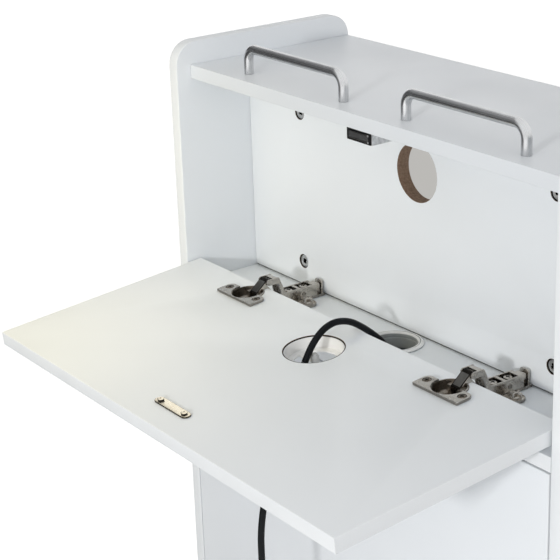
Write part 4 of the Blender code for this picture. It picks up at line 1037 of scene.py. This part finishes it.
def strike_plate():
    """A stadium-shaped plate whose cut edge is painted near-black as shade, and on it two turned screw heads
    with painted shade on their sides and in their sockets.
    """
    length, width, thickness, from_edge, screw_x = 0.054, 0.010, 0.0015, 0.220, 0.020
    outline = rounded(rectangle((-length / 2, -width / 2), (length / 2, width / 2)), width / 2, steps=16)
    top = SEAT + thickness
    shape = slab(outline, SEAT, top, SMALL_EDGE)
    side = [(0, -0.0003), (0.0029, -0.0003), (0.0033, 0.0016)]
    dome = [(0.0033, 0.0016), (0.0027, 0.0020), (0.0008, 0.0021)]
    socket = [(0.0008, 0.0021), (0.0008, 0.0010), (0, 0.0010)]
    # The head's side and socket take the near-black painted shade
    head = lathe(side, 40, 1) + turned(dome, [0, 0.0004, 0], 40) + lathe(socket, 40, 1)
    for x in (-screw_x, screw_x):
        shape += head.moved(at(x, 0, top))
    place = on_flap @ at(0, -from_edge, 0)
    piece("brass_strike", shape.moved(place), [brass, recess, brass_edge_shade], "flap", ["strike_plate"])


magnetic_catch()
strike_plate()
print("catch and strike plate")

# %% [markdown]
# ## Concealed hinges
#
# Each hinge is a pressed cup with a screwed flange in the flap, a short link, and a cranked arm on a
# mounting plate. The arm on the real hinge is folded sheet: two cheeks with a web between them, open on
# top, where the adjusting screws sit. Folding a plane would follow that history, but two cheek slabs
# and a swept web give the same form with edges that can be rounded.

# %% Hinge cup
FLANGE_HALF, FLANGE_MIDDLE, FLANGE_DEPTH, FLANGE_THICKNESS = 0.031, -0.0082, 0.021, 0.0025
FLANGE_EDGE, FLANGE_SCREW = 0.00035, (0.0039, 0.0009, 0.0012)
FLANGE_SCREW_X, FLANGE_SCREW_Y = 0.024, -0.0060
CUP_WALL, CUP_LIP, LUG_WIDTH, LUG_HALF = 0.001, 0.0011, 0.0045, 0.00375
LINK_WIDTH, LINK_FOOT_SETBACK, LINK_FOOT_RISE = 0.012, 0.003924, 0.021279


def hinge_cup(hand, x):
    """A turned bowl painted dark inside as shade, a flange with a round bite for the bowl, a lug each side
    of the link's foot in the same painted shade, and two sunk screws with painted shade in their sinkings
    and recesses."""
    inner = CUP_RADIUS - CUP_WALL
    outside = [(0, -CUP_DEPTH), (CUP_RADIUS, -CUP_DEPTH), (CUP_RADIUS, CUP_LIP), (inner, CUP_LIP)]
    inside = [(inner, CUP_LIP), (inner, CUP_WALL - CUP_DEPTH), (0, CUP_WALL - CUP_DEPTH)]
    # The bowl's inside takes the painted shade
    shape = turned(outside, [0, 0.002, 0.0004, 0], 64) + turned(inside, [0, 0.004, 0], 64, 3)
    front, rear = FLANGE_MIDDLE - FLANGE_DEPTH / 2, FLANGE_MIDDLE + FLANGE_DEPTH / 2
    bite = CUP_RADIUS - CUP_WALL / 2
    start = math.degrees(math.asin(rear / bite))
    rim = arc((0, 0), bite, start, -180 - start, 48)
    half = FLANGE_HALF
    corners = np.vstack([[(-half, front), (half, front), (half, rear)], rim, [(-half, rear)]])
    outline = rounded(corners, [0.002, 0.002, 0.008] + [0] * len(rim) + [0.008])
    top = SEAT + FLANGE_THICKNESS
    screw_places = [(side * FLANGE_SCREW_X, FLANGE_SCREW_Y) for side in (-1, 1)]
    sinkings = [(circle(place, 0.0043, 40), top - 0.0007) for place in screw_places]
    shape += slab(outline, SEAT, top, FLANGE_EDGE, pockets=sinkings)
    foot = LINK_FOOT_SETBACK - FLAP_EDGE_SETBACK + CUP_FROM_EDGE
    near = LINK_WIDTH / 2 + SEAT
    for left in (-near - LUG_WIDTH, near):
        low, high = (left, foot - LUG_HALF), (left + LUG_WIDTH, foot + LUG_HALF)
        shape += block(low, high, 0.001, CUP_WALL / 2 - CUP_DEPTH, -0.0015, SOFT_EDGE, 3)
    head = screw_head(*FLANGE_SCREW)
    head = head.painted(np.where(head.kinds == 0, 4, 1))
    for screw_x, screw_y in screw_places:
        shape += head.moved(at(screw_x, screw_y, top - 0.0006))
    place = on_flap @ at(x, -CUP_FROM_EDGE, 0)
    finishes = [nickel, recess, nickel_edge, cup_inside_shade, bronze]
    piece(f"{hand}_hinge_cup", shape.moved(place), finishes, "flap", [f"hinge_cup_{hand}"])


print(f"cups {2 * CUP_RADIUS:.3f} m across")

# %% Hinge link
LINK_THICKNESS, KNUCKLE_RADIUS, PIN_RADIUS = 0.0026, 0.0034, 0.0015
KNUCKLE_SETBACK, KNUCKLE_RISE = 0.0175, 0.0325


def hinge_link(hand, x):
    """A strip off the top of a round eye, drawn across its width, nickel on its sides, its edges and pin
    hole painted near-black as shade, with a dark raised panel on its outer face and a bright cheek under
    each side."""
    foot = Vector((LINK_FOOT_SETBACK - KNUCKLE_SETBACK, LINK_FOOT_RISE - KNUCKLE_RISE))
    length, heading, half = foot.length, math.atan2(foot.y, foot.x), LINK_WIDTH / 2
    low, high = KNUCKLE_RADIUS - LINK_THICKNESS, KNUCKLE_RADIUS
    neck = math.degrees(math.asin(low / KNUCKLE_RADIUS))
    eye = arc((0, 0), KNUCKLE_RADIUS, 90, 360 + neck, 36)
    end = arc((length, (low + high) / 2), (high - low) / 2, -90, 90, 16)
    pin_hole = circle((0, 0), PIN_RADIUS + SEAT, 24)
    shape = slab(np.vstack([eye, end]), -half, half, SOFT_EDGE, holes=[pin_hole])
    # The edges and the pin hole take the near-black painted shade
    shape = shape.painted(np.where(shape.kinds == LAMINATE, 1, 2))
    tip = length - 0.0030
    cheek = [(0.0035, -0.0095), (0.0080, -0.0072), (tip, -0.0006), (tip, 0.0028), (0.0035, 0.0028)]
    for face in (half, -half):
        shape += slab(rounded(cheek, 0.0006), face - 0.0004, face + 0.0004, FINE_EDGE).painted(1)
    panel_low, panel_high = (0.0020, 0.0012 - half), (length - 0.001, half - 0.0012)
    panel = block(panel_low, panel_high, 0.0008, high - 0.0002, high + 0.0003, FINE_EDGE)
    shape += panel.moved(TO_REAR)
    place = at(x, front_plane + KNUCKLE_SETBACK, floor_top + KNUCKLE_RISE) @ TO_RIGHT
    shape = shape.moved(place @ Matrix.Rotation(heading, 4, "Z") @ Matrix.Diagonal((1, -1, 1, 1)))
    finishes, nodes = [dark_nickel, nickel, recess], [f"hinge_link_{hand}"]
    piece(f"{hand}_hinge_link", shape, finishes, "hinge_links", nodes, sharp=25)


print(f"links {LINK_WIDTH:.3f} m wide")

# %% Hinge arm
ARM_SLOT, ARM_CHEEK, ARM_TOP, ARM_REAR, ARM_UNDER = 0.0064, 0.0014, 0.0163, 0.080, 0.0036
ARM_CRANK, ARM_HEEL = 0.030, 0.0385
ARM_SCREWS, ARM_SCREW = (0.0475, 0.0665), (0.0042, 0.0012, 0.0013)
ARM_BRIDGES = ((0.0570, 0.0040), (0.0765, 0.0050))
ARM_EYELET = (0.0625, 0.0090)
WEB = 0.0014
LEVER_LOW, LEVER_HIGH, LEVER_HALF = (0.0745, 0.0085), (0.0862, 0.0158), 0.0045


def hinge_arm(hand, x):
    """Two cheeks with the arm's side outline, a web swept over knuckle and crank, a channel floor painted
    near-black as shade, bridges over the channel, adjusting screws, pin heads, eyelets and a round release
    lever at the rear."""
    top, under = KNUCKLE_RISE + KNUCKLE_RADIUS, KNUCKLE_RISE - KNUCKLE_RADIUS
    nose = KNUCKLE_SETBACK - KNUCKLE_RADIUS
    corners = [(ARM_REAR, ARM_UNDER), (ARM_REAR, ARM_TOP), (ARM_HEEL, ARM_TOP), (ARM_CRANK, top),
               (nose, top), (nose, under), (ARM_CRANK, under), (ARM_CRANK + 0.003, ARM_TOP - 0.003),
               (ARM_HEEL - 0.003, ARM_UNDER)]
    outline = rounded(corners, [0.001, 0.002, 0.0015, 0.002, 0.0034, 0.0034, 0.003, 0.003, 0.001])
    cheeks = [slab(outline, low, low + ARM_CHEEK, SMALL_EDGE) for low in (ARM_SLOT, -ARM_SLOT - ARM_CHEEK)]
    shape = (cheeks[0] + cheeks[1]).painted(0).moved(TO_RIGHT)
    half = ARM_SLOT + 0.0004
    section = rounded(rectangle((-half, -WEB / 2), (half, WEB / 2)), 0.0003, steps=3)
    over, floor = top - WEB / 2 - 0.0002, ARM_TOP - 0.0075
    crank = [(0, 0.0225, over), (0, ARM_CRANK - 0.0004, over), (0, ARM_HEEL - 0.0006, ARM_TOP - 0.0010),
             (0, ARM_HEEL + 0.0020, floor + 0.0008)]
    shape += sweep(rounded(crank, [0, 0.0035, 0.002, 0], closed=False), section, (1, 0, 0))
    # The channel floor is painted near-black as shade
    channel_floor = [(0, ARM_HEEL - 0.001, floor), (0, ARM_REAR - 0.001, floor)]
    shape += sweep(channel_floor, section, (1, 0, 0)).painted(1)
    for y, length in ARM_BRIDGES:
        low, high = (-half, y - length / 2), (half, y + length / 2)
        shape += block(low, high, 0.0008, ARM_TOP - 0.0017, ARM_TOP - 0.0002, SOFT_EDGE)
    shank = turned([(0, 0), (0.0036, 0), (0.0036, 0.0050), (0, 0.0050)], [0, 0, 0.0003, 0], 32)
    for y in ARM_SCREWS:
        shape += shank.moved(at(0, y, floor + WEB / 2))
        shape += screw_head(*ARM_SCREW).moved(at(0, y, floor + 0.0057))
    pin = turned([(0, 0), (0.0023, 0), (0.0021, 0.0006), (0, 0.0008)], [0, 0, 0.0003, 0], 28)
    eyelet = turned_ring(rectangle((0.0011, -0.0002), (0.0023, 0.0007)), 0, 28, 2)
    for side in (-1, 1):
        turn = Matrix.Rotation(side * QUARTER, 4, "Y")
        face = side * (ARM_SLOT + ARM_CHEEK)
        shape += pin.moved(at(face - side * 0.0001, KNUCKLE_SETBACK, KNUCKLE_RISE) @ turn)
        shape += eyelet.moved(at(face, *ARM_EYELET) @ turn)
    lever_radii = [0.001, 0.002, 0.0030, 0.001]
    lever = block(LEVER_LOW, LEVER_HIGH, lever_radii, -LEVER_HALF, LEVER_HALF, THIN_EDGE)
    shape += lever.moved(TO_RIGHT)
    place = at(x, front_plane, floor_top)
    finishes = [nickel, recess, nickel_edge]
    piece(f"{hand}_hinge_arm", shape.moved(place), finishes, "carcass", [f"hinge_arm_{hand}"])


print(f"arms {ARM_REAR:.3f} m deep")

# %% Mounting plate, and both hinges
PLATE_FRONT, PLATE_REAR, PLATE_HALF, PLATE_THICKNESS = 0.037, 0.0905, 0.0078, 0.003
WING_REACH, WING_RADIUS, WING_SETBACK, WING_SCREW = 0.019, 0.009, 0.059, (0.0030, 0.0010, 0.0010)
BLADE_LOW, BLADE_HIGH, BLADE_TURNS = (-0.0062, -0.0011), (0.0062, 0.0011), (20, 110)


def winged_bolt():
    """A turned collar with two crossed blades on it and a domed head with a cross."""
    collar = [(0, 0), (0.0058, 0), (0.0058, 0.0012), (0.0040, 0.0020), (0, 0.0020)]
    shape = turned(collar, [0, 0, 0.0005, 0.0005, 0], 40)
    blade = block(BLADE_LOW, BLADE_HIGH, 0.0008, 0.0015, 0.0052, SOFT_EDGE)
    for turn in BLADE_TURNS:
        shape += blade.moved(Matrix.Rotation(math.radians(turn), 4, "Z"))
    return shape + screw_head(*WING_SCREW).moved(at(z=0.0051))


def hinge_plate(hand, x):
    """A strip with a round wing each side, a tab at its rear and a winged bolt in each wing."""
    low, high, half = WING_SETBACK - WING_RADIUS, WING_SETBACK + WING_RADIUS, PLATE_HALF
    right_wing = arc((WING_REACH, WING_SETBACK), WING_RADIUS, -90, 90)
    left_wing = arc((-WING_REACH, WING_SETBACK), WING_RADIUS, 90, 270)
    rear_corners = [(half, high), (half, PLATE_REAR), (-half, PLATE_REAR), (-half, high)]
    front_corners = [(-half, low), (-half, PLATE_FRONT), (half, PLATE_FRONT), (half, low)]
    outline = np.vstack([right_wing, rear_corners, left_wing, front_corners])
    top = SEAT + PLATE_THICKNESS
    shape = slab(outline, SEAT, top, ROUND_EDGE)
    tab_rear, tab_radii = PLATE_REAR - 0.0015, [0, 0, 0.003, 0.003]
    tab_low, tab_high = (-0.006, SEAT + 0.001), (0.006, 0.0180)
    tab = block(tab_low, tab_high, tab_radii, -tab_rear, 0.002 - tab_rear, SOFT_EDGE)
    shape += tab.moved(TO_FRONT)
    for side in (-1, 1):
        shape += winged_bolt().moved(at(side * WING_REACH, WING_SETBACK, top))
    place = at(x, front_plane, floor_top)
    finishes = [nickel, recess, nickel_edge]
    piece(f"{hand}_hinge_plate", shape.moved(place), finishes, "carcass", [f"hinge_plate_{hand}"])


for hand, side in (("left", -1), ("right", 1)):
    hinge_cup(hand, side * hinge_x)
    hinge_link(hand, side * hinge_x)
    hinge_arm(hand, side * hinge_x)
    hinge_plate(hand, side * hinge_x)
print("two hinges of four pieces")

# %% [markdown]
# ## Drawers
#
# On the far side two drawers run on plastic strips screwed to the sides. Fronts are boards like the
# rest. The drawer's sides have a groove for the strip, so their section is an outline of its own.

# %% Drawer boxes and runners
GROOVE_DEPTH, GROOVE_PLAY = 0.007, 0.0004
RUNNER_SCREW, RUNNER_SCREW_SHARES = (0.0026, 0.0005, 0.0005), (0.12, 0.5, 0.88)


def drawer_side(name, node, runner, body):
    """A grooved section carried along the drawer's depth; the groove is the runner's height and a little
    play."""
    low, high = local_box(node, "front")
    strip_low, strip_high = local_box(runner, "front")
    groove_low, groove_high = strip_low[1] - GROOVE_PLAY, strip_high[1] + GROOVE_PLAY
    outer, inner = (low[0], high[0]) if low[0] < 0 else (high[0], low[0])
    sunk = outer - GROOVE_DEPTH * np.sign(outer)
    section = [(inner, low[1]), (outer, low[1]), (outer, groove_low), (sunk, groove_low),
               (sunk, groove_high), (outer, groove_high), (outer, high[1]), (inner, high[1])]
    shape = slab(np.array(section), low[2], high[2], THIN_EDGE)
    piece(name, shape.moved(TO_FRONT), BOARD_FINISHES, body, [node])


def runner_strip(name, node):
    """A plastic strip with round ends and three screws sunk in it, on the side that faces the drawer."""
    low, high = local_box(node, "right")
    shape = block(low, high, 0.004, low[2], high[2], ROUND_EDGE)
    face, turn = (high[2], Matrix.Identity(4)) if low[2] < 0 else (low[2], TURN_OVER)
    head = screw_head(*RUNNER_SCREW)
    head = head.painted(head.kinds + 1)
    for share in RUNNER_SCREW_SHARES:
        y, z = low[0] + share * (high[0] - low[0]), (low[1] + high[1]) / 2
        shape += head.moved(at(y, z, face) @ turn)
    piece(name, shape.moved(TO_RIGHT), [white_plastic, zinc, recess], "carcass", [node])


for word in ("upper", "lower"):
    body = f"{word}_drawer"
    board(f"{word}_front_board", f"{word}_drawer_front", "front", body)
    board(f"{word}_inner_back", f"{word}_drawer_back", "front", body, edge=THIN_EDGE)
    board(f"{word}_base_sheet", f"{word}_drawer_bottom", "up", body, edge=THIN_EDGE)
    for hand in ("left", "right"):
        runner = f"{word}_runner_{hand}"
        drawer_side(f"{word}_{hand}_drawer_side", f"{word}_drawer_side_{hand}", runner, body)
        runner_strip(f"{word}_{hand}_strip", runner)
print("two drawers on four strips")

# %% [markdown]
# ## Casters
#
# Four swivel casters carry the trolley. Plate, swivel head and fork are zinc-plated steel, the wheel a
# rubber tyre on a plastic hub. The fork is two cheeks and a crown, the turned pieces are lathes, and
# the bolt's head and nut are hexagons.

# %% Casters
FORK_SLOT, FORK_CHEEK, FORK_BOSS, CROWN_LENGTH = 0.0115, 0.0025, 0.008, 0.030
CROWN_UNDER, CROWN_THICKNESS, WHEEL_RADIUS, WHEEL_HALF = 0.053, 0.004, 0.025, 0.010
NUT_RADIUS, NUT_HEIGHT, AXLE_RADIUS, AXLE_BEYOND = 0.0062, 0.0032, 0.003, 0.0048
CASTER_SCREW, CASTER_SCREW_INSET = (0.0042, 0.0016, 0.0012), 0.0075


def caster_plate(word):
    """A square plate with round corners and four screw heads under it."""
    node = f"caster_plate_{word}"
    low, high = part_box(node)
    shape = block(low, high, 0.006, low.z, high.z, ROUND_EDGE)
    head = screw_head(*CASTER_SCREW)
    for x, y in four_places(low, high, CASTER_SCREW_INSET):
        shape += head.moved(at(x, y, low.z) @ TURN_OVER)
    piece(f"{word}_plate", shape, [zinc, recess], "carcass", [node])


def caster_fork(word, place, trail):
    """Two cheeks with a round boss at the axle, a crown, a turned swivel head with a groove, and the axle's
    bolt."""
    crown, top, side = CROWN_LENGTH / 2, CROWN_UNDER + CROWN_THICKNESS, FORK_SLOT + FORK_CHEEK
    lap = 0.0003
    boss = arc((trail, WHEEL_RADIUS), FORK_BOSS, 180, 360)
    shoulders = [(crown, CROWN_UNDER), (crown, top - lap), (-crown, top - lap), (-crown, CROWN_UNDER)]
    outline = np.vstack([boss, shoulders])
    cheeks = [slab(outline, low, low + FORK_CHEEK, ROUND_EDGE) for low in (FORK_SLOT, -side)]
    shape = (cheeks[0] + cheeks[1]).painted(0).moved(TO_RIGHT)
    bridge_low, bridge_high = (lap - side, lap - crown), (side - lap, crown - lap)
    shape += block(bridge_low, bridge_high, 0.002, CROWN_UNDER, top, WIDE_EDGE)
    head = [(0, -0.001), (0.013, -0.001), (0.016, 0.0015), (0.016, 0.0040), (0.0148, 0.0047),
            (0.016, 0.0054), (0.016, 0.0086), (0.0130, 0.0090), (0, 0.0090)]
    head_radii = [0, 0, 0.001, 0.0003, 0.0003, 0.0003, 0.0006, 0, 0]
    shape += turned(head, head_radii, 64, fine=4).moved(at(z=top))
    at_axle = at(0, trail, WHEEL_RADIUS) @ TO_RIGHT
    hexagon = rounded(circle((0, 0), NUT_RADIUS, 6), 0.0006, steps=4)
    for low in (side, -side - NUT_HEIGHT):
        shape += slab(hexagon, low, low + NUT_HEIGHT, ROUND_EDGE).painted(0).moved(at_axle)
    end = side + AXLE_BEYOND
    axle = lathe([(0, -end), (AXLE_RADIUS, -end), (AXLE_RADIUS, end), (0, end)], 32)
    shape += axle.moved(at_axle)
    body = f"caster_{word}"
    piece(f"{word}_fork", shape.moved(place), [zinc], body, [f"caster_fork_{word}"])


def caster_wheel(word, place):
    """A turned tyre with a crowned tread, and a turned hub with a sunk web and a collar round the axle."""
    rim, bore, collar = 0.019, 0.0033, 0.009
    outer, shoulder, half, web = WHEEL_RADIUS, WHEEL_RADIUS - 0.002, WHEEL_HALF, WHEEL_HALF - 0.003
    tread = [(rim, -half), (shoulder, -half), (outer, -web), (outer, web), (shoulder, half), (rim, half)]
    tyre = turned_ring(tread, [0.0006, 0.0016, 0.003, 0.003, 0.0016, 0.0006], 96)
    lip = half - 0.0004
    disc = np.array([(bore, half), (collar, half), (collar + 0.0006, web), (rim - 0.0024, web),
                     (rim - 0.002, lip), (rim - 0.0001, lip)])
    hub = turned_ring(np.vstack([disc, disc[::-1] * (1, -1)]), 0.0004, 96, fine=4)
    body = f"wheel_{word}"
    nodes = [f"caster_wheel_{word}"]
    piece(f"{word}_tyre", tyre.moved(place @ TO_RIGHT), [rubber], body, nodes)
    piece(f"{word}_hub", hub.moved(place @ TO_RIGHT), [hub_plastic], body)


for word in ("front_left", "front_right", "rear_left", "rear_right"):
    caster_plate(word)
    swivel, axle = middle_of(f"caster_plate_{word}"), middle_of(f"caster_wheel_{word}")
    caster_fork(word, at(swivel.x, swivel.y, 0), axle.y - swivel.y)
    caster_wheel(word, at(axle.x, axle.y, axle.z))
print("four casters of four pieces")

# %% [markdown]
# ## Floor and light
#
# The photograph is a cut-out on white. The floor and the world show plain white to the camera, and to
# glossy and clear rays, so that metal mirrors the same white studio. To all other rays the world is a
# soft light that is stronger from above, from the front and from the right. One low lamp in front is
# the key light. The photograph shows where it stands: the lead throws a stripe on the liner's far wall
# and a spot on the back board, and the flap shades the strip of floor behind it. A wide sun from behind
# lights the drawers, and a small warm lamp over the flap's left end gives the warm tone there. A grey
# card stands for the wall that shows through the cable hole, and a grey card over a dark one, with a
# mat, shade the bars from the left.

# %% World and floor
WORLD_LEVEL = 0.447
WORLD_LEAN = (0.211, -0.211, 0.211)
FLOOR_HALF = 12.0
FLOOR_TONE, FLOOR_LIFT = 0.9, 0.55


def shown_rays(tree):
    """1 for camera, glossy and transmission rays, and 0 for the rest."""
    path = add_node(tree, "ShaderNodeLightPath").outputs
    pair = {0: path["Is Camera Ray"], 1: path["Is Glossy Ray"]}
    seen = add_node(tree, "ShaderNodeMath", pair, operation="MAXIMUM").outputs[0]
    pair = {0: seen, 1: path["Is Transmission Ray"]}
    return add_node(tree, "ShaderNodeMath", pair, operation="MAXIMUM").outputs[0]


def studio_world():
    """White where it is seen; for everything else a level plus the lean's part along the ray's direction."""
    world = bpy.data.worlds.new("studio")
    world.use_nodes = True
    tree = world.node_tree
    direction = add_node(tree, "ShaderNodeTexCoord").outputs["Generated"]
    lean = add_node(tree, "ShaderNodeVectorMath", {0: direction, 1: WORLD_LEAN}, operation="DOT_PRODUCT")
    soft = add_node(tree, "ShaderNodeMath", {0: lean.outputs["Value"], 1: WORLD_LEVEL}, operation="ADD")
    strength = add_node(tree, "ShaderNodeMix", {0: shown_rays(tree), 2: soft.outputs[0], 3: 1.0}).outputs[0]
    background = tree.nodes["Background"]
    background.inputs["Color"].default_value = (1, 1, 1, 1)
    tree.links.new(strength, background.inputs["Strength"])
    bpy.context.scene.world = world


def paper_sheet(name, corners, paper):
    """A flat sheet over four corners, as its object and the empty node tree of its paper."""
    mesh = bpy.data.meshes.new(name)
    mesh.from_pydata(corners, [], [(0, 1, 2, 3)])
    material = bpy.data.materials.new(paper)
    material.use_nodes = True
    material.node_tree.nodes.remove(material.node_tree.nodes["Principled BSDF"])
    mesh.materials.append(material)
    made = bpy.data.objects.new(name, mesh)
    bpy.context.scene.collection.objects.link(made)
    return made, material.node_tree


def studio_floor():
    """A wide matt plane that keeps shadows, lifted where it is seen until its lit part is white."""
    corners = [(x, y, 0) for x, y in rectangle((-FLOOR_HALF, -FLOOR_HALF), (FLOOR_HALF, FLOOR_HALF))]
    floor, tree = paper_sheet("studio_floor", corners, "white paper")
    tone = (FLOOR_TONE, FLOOR_TONE, FLOOR_TONE, 1)
    matt = add_node(tree, "ShaderNodeBsdfDiffuse", {"Color": tone}).outputs["BSDF"]
    glow = add_node(tree, "ShaderNodeEmission", {"Strength": FLOOR_LIFT}).outputs["Emission"]
    lifted = add_node(tree, "ShaderNodeAddShader", {0: matt, 1: glow}).outputs["Shader"]
    both = add_node(tree, "ShaderNodeMixShader", {0: shown_rays(tree), 1: matt, 2: lifted}).outputs["Shader"]
    tree.links.new(both, tree.nodes["Material Output"].inputs["Surface"])


studio_world()
studio_floor()
print("white world and floor")

# %% Lamps
LAMP_COLOUR, WARM_COLOUR = (1.0, 0.99, 0.98), (1.0, 0.87, 0.50)
KEY_PLACE, KEY_AIM, KEY_SIZE, KEY_POWER = (1.36, -2.67, 1.34), (0, 0, 0.7), 0.3, 35.5
SUN_ASIDE, SUN_RISE, SUN_SPREAD, SUN_POWER = 225, 2, 30, 1.1
WARM_PLACE, WARM_SIZE, WARM_POWER = (-0.27, -0.33, 0.92), 0.25, 0.62


def lamp(name, kind, colour, power, place, turn):
    """A lamp of a kind at a place, shining along its own -Z, that no mirror shows."""
    data = bpy.data.lights.new(name, kind)
    data.color = colour
    data.energy = power
    made = bpy.data.objects.new(name, data)
    made.location = place
    made.rotation_euler = turn
    made.visible_glossy = False
    bpy.context.scene.collection.objects.link(made)
    return data


def disc_lamp(name, colour, power, size, place, turn):
    """A round lamp, size across."""
    data = lamp(name, "AREA", colour, power, place, turn)
    data.shape = "DISK"
    data.size = size


key_turn = (Vector(KEY_AIM) - Vector(KEY_PLACE)).to_track_quat("-Z", "Y").to_euler()
disc_lamp("key_lamp", LAMP_COLOUR, KEY_POWER, KEY_SIZE, KEY_PLACE, key_turn)
# The sun stands so many degrees round from the front to the right, and above the floor
sun_turn = (math.radians(90 - SUN_RISE), 0, math.radians(SUN_ASIDE))
back_sun = lamp("back_sun", "SUN", LAMP_COLOUR, SUN_POWER, (0, -3, 3), sun_turn)
back_sun.angle = math.radians(SUN_SPREAD)
disc_lamp("warm_lamp", WARM_COLOUR, WARM_POWER, WARM_SIZE, WARM_PLACE, (0, 0, 0))
print("a key lamp, a sun from behind and a warm lamp")

# %% Cards
WALL_LOW, WALL_HIGH = (-0.25, 0.63), (0.05, 0.80)
CARD_LEFT, CARD_RIGHT, CARD_FRONT, CARD_REAR = -1.6, -0.45, -3.2, 0.35
CARD_LOW, CARD_MIDDLE, CARD_HIGH = 0.01, 1.75, 3.0


def card(name, corners, tone, seen_by):
    """A plain card for one kind of ray. It is one-sided, and it throws no shadow."""
    made, tree = paper_sheet(name, corners, name)
    glow = add_node(tree, "ShaderNodeEmission", {"Color": (*tone, 1)}).outputs["Emission"]
    clear = add_node(tree, "ShaderNodeBsdfTransparent").outputs["BSDF"]
    behind = add_node(tree, "ShaderNodeNewGeometry").outputs["Backfacing"]
    both = add_node(tree, "ShaderNodeMixShader", {0: behind, 1: glow, 2: clear}).outputs["Shader"]
    tree.links.new(both, tree.nodes["Material Output"].inputs["Surface"])
    made.visible_camera = seen_by == "camera"
    made.visible_glossy = seen_by == "glossy"
    made.visible_diffuse = False
    made.visible_transmission = False
    made.visible_shadow = False


def standing_card(name, bottom, top, tone):
    """A card on edge at the left, seen in mirrors only."""
    side = rectangle((CARD_FRONT, bottom), (CARD_REAR, top))
    card(name, [(CARD_LEFT, y, z) for y, z in side], tone, "glossy")


wall = [(x, rear_plane - 0.002, z) for x, z in rectangle(WALL_LOW, WALL_HIGH)]
card("grey_wall", wall, (0.50, 0.49, 0.47), "camera")
standing_card("dark_card", CARD_LOW, CARD_MIDDLE, (0.09, 0.09, 0.093))
standing_card("middle_card", CARD_MIDDLE, CARD_HIGH, (0.28, 0.28, 0.285))
mat = [(x, y, CARD_LOW) for x, y in rectangle((CARD_LEFT, CARD_FRONT), (CARD_RIGHT, CARD_REAR))]
card("dark_mat", mat, (0.03, 0.03, 0.032), "glossy")
bpy.context.scene.view_settings.view_transform = "Standard"
print("a wall seen through the cable hole, and three cards that only mirrors show")
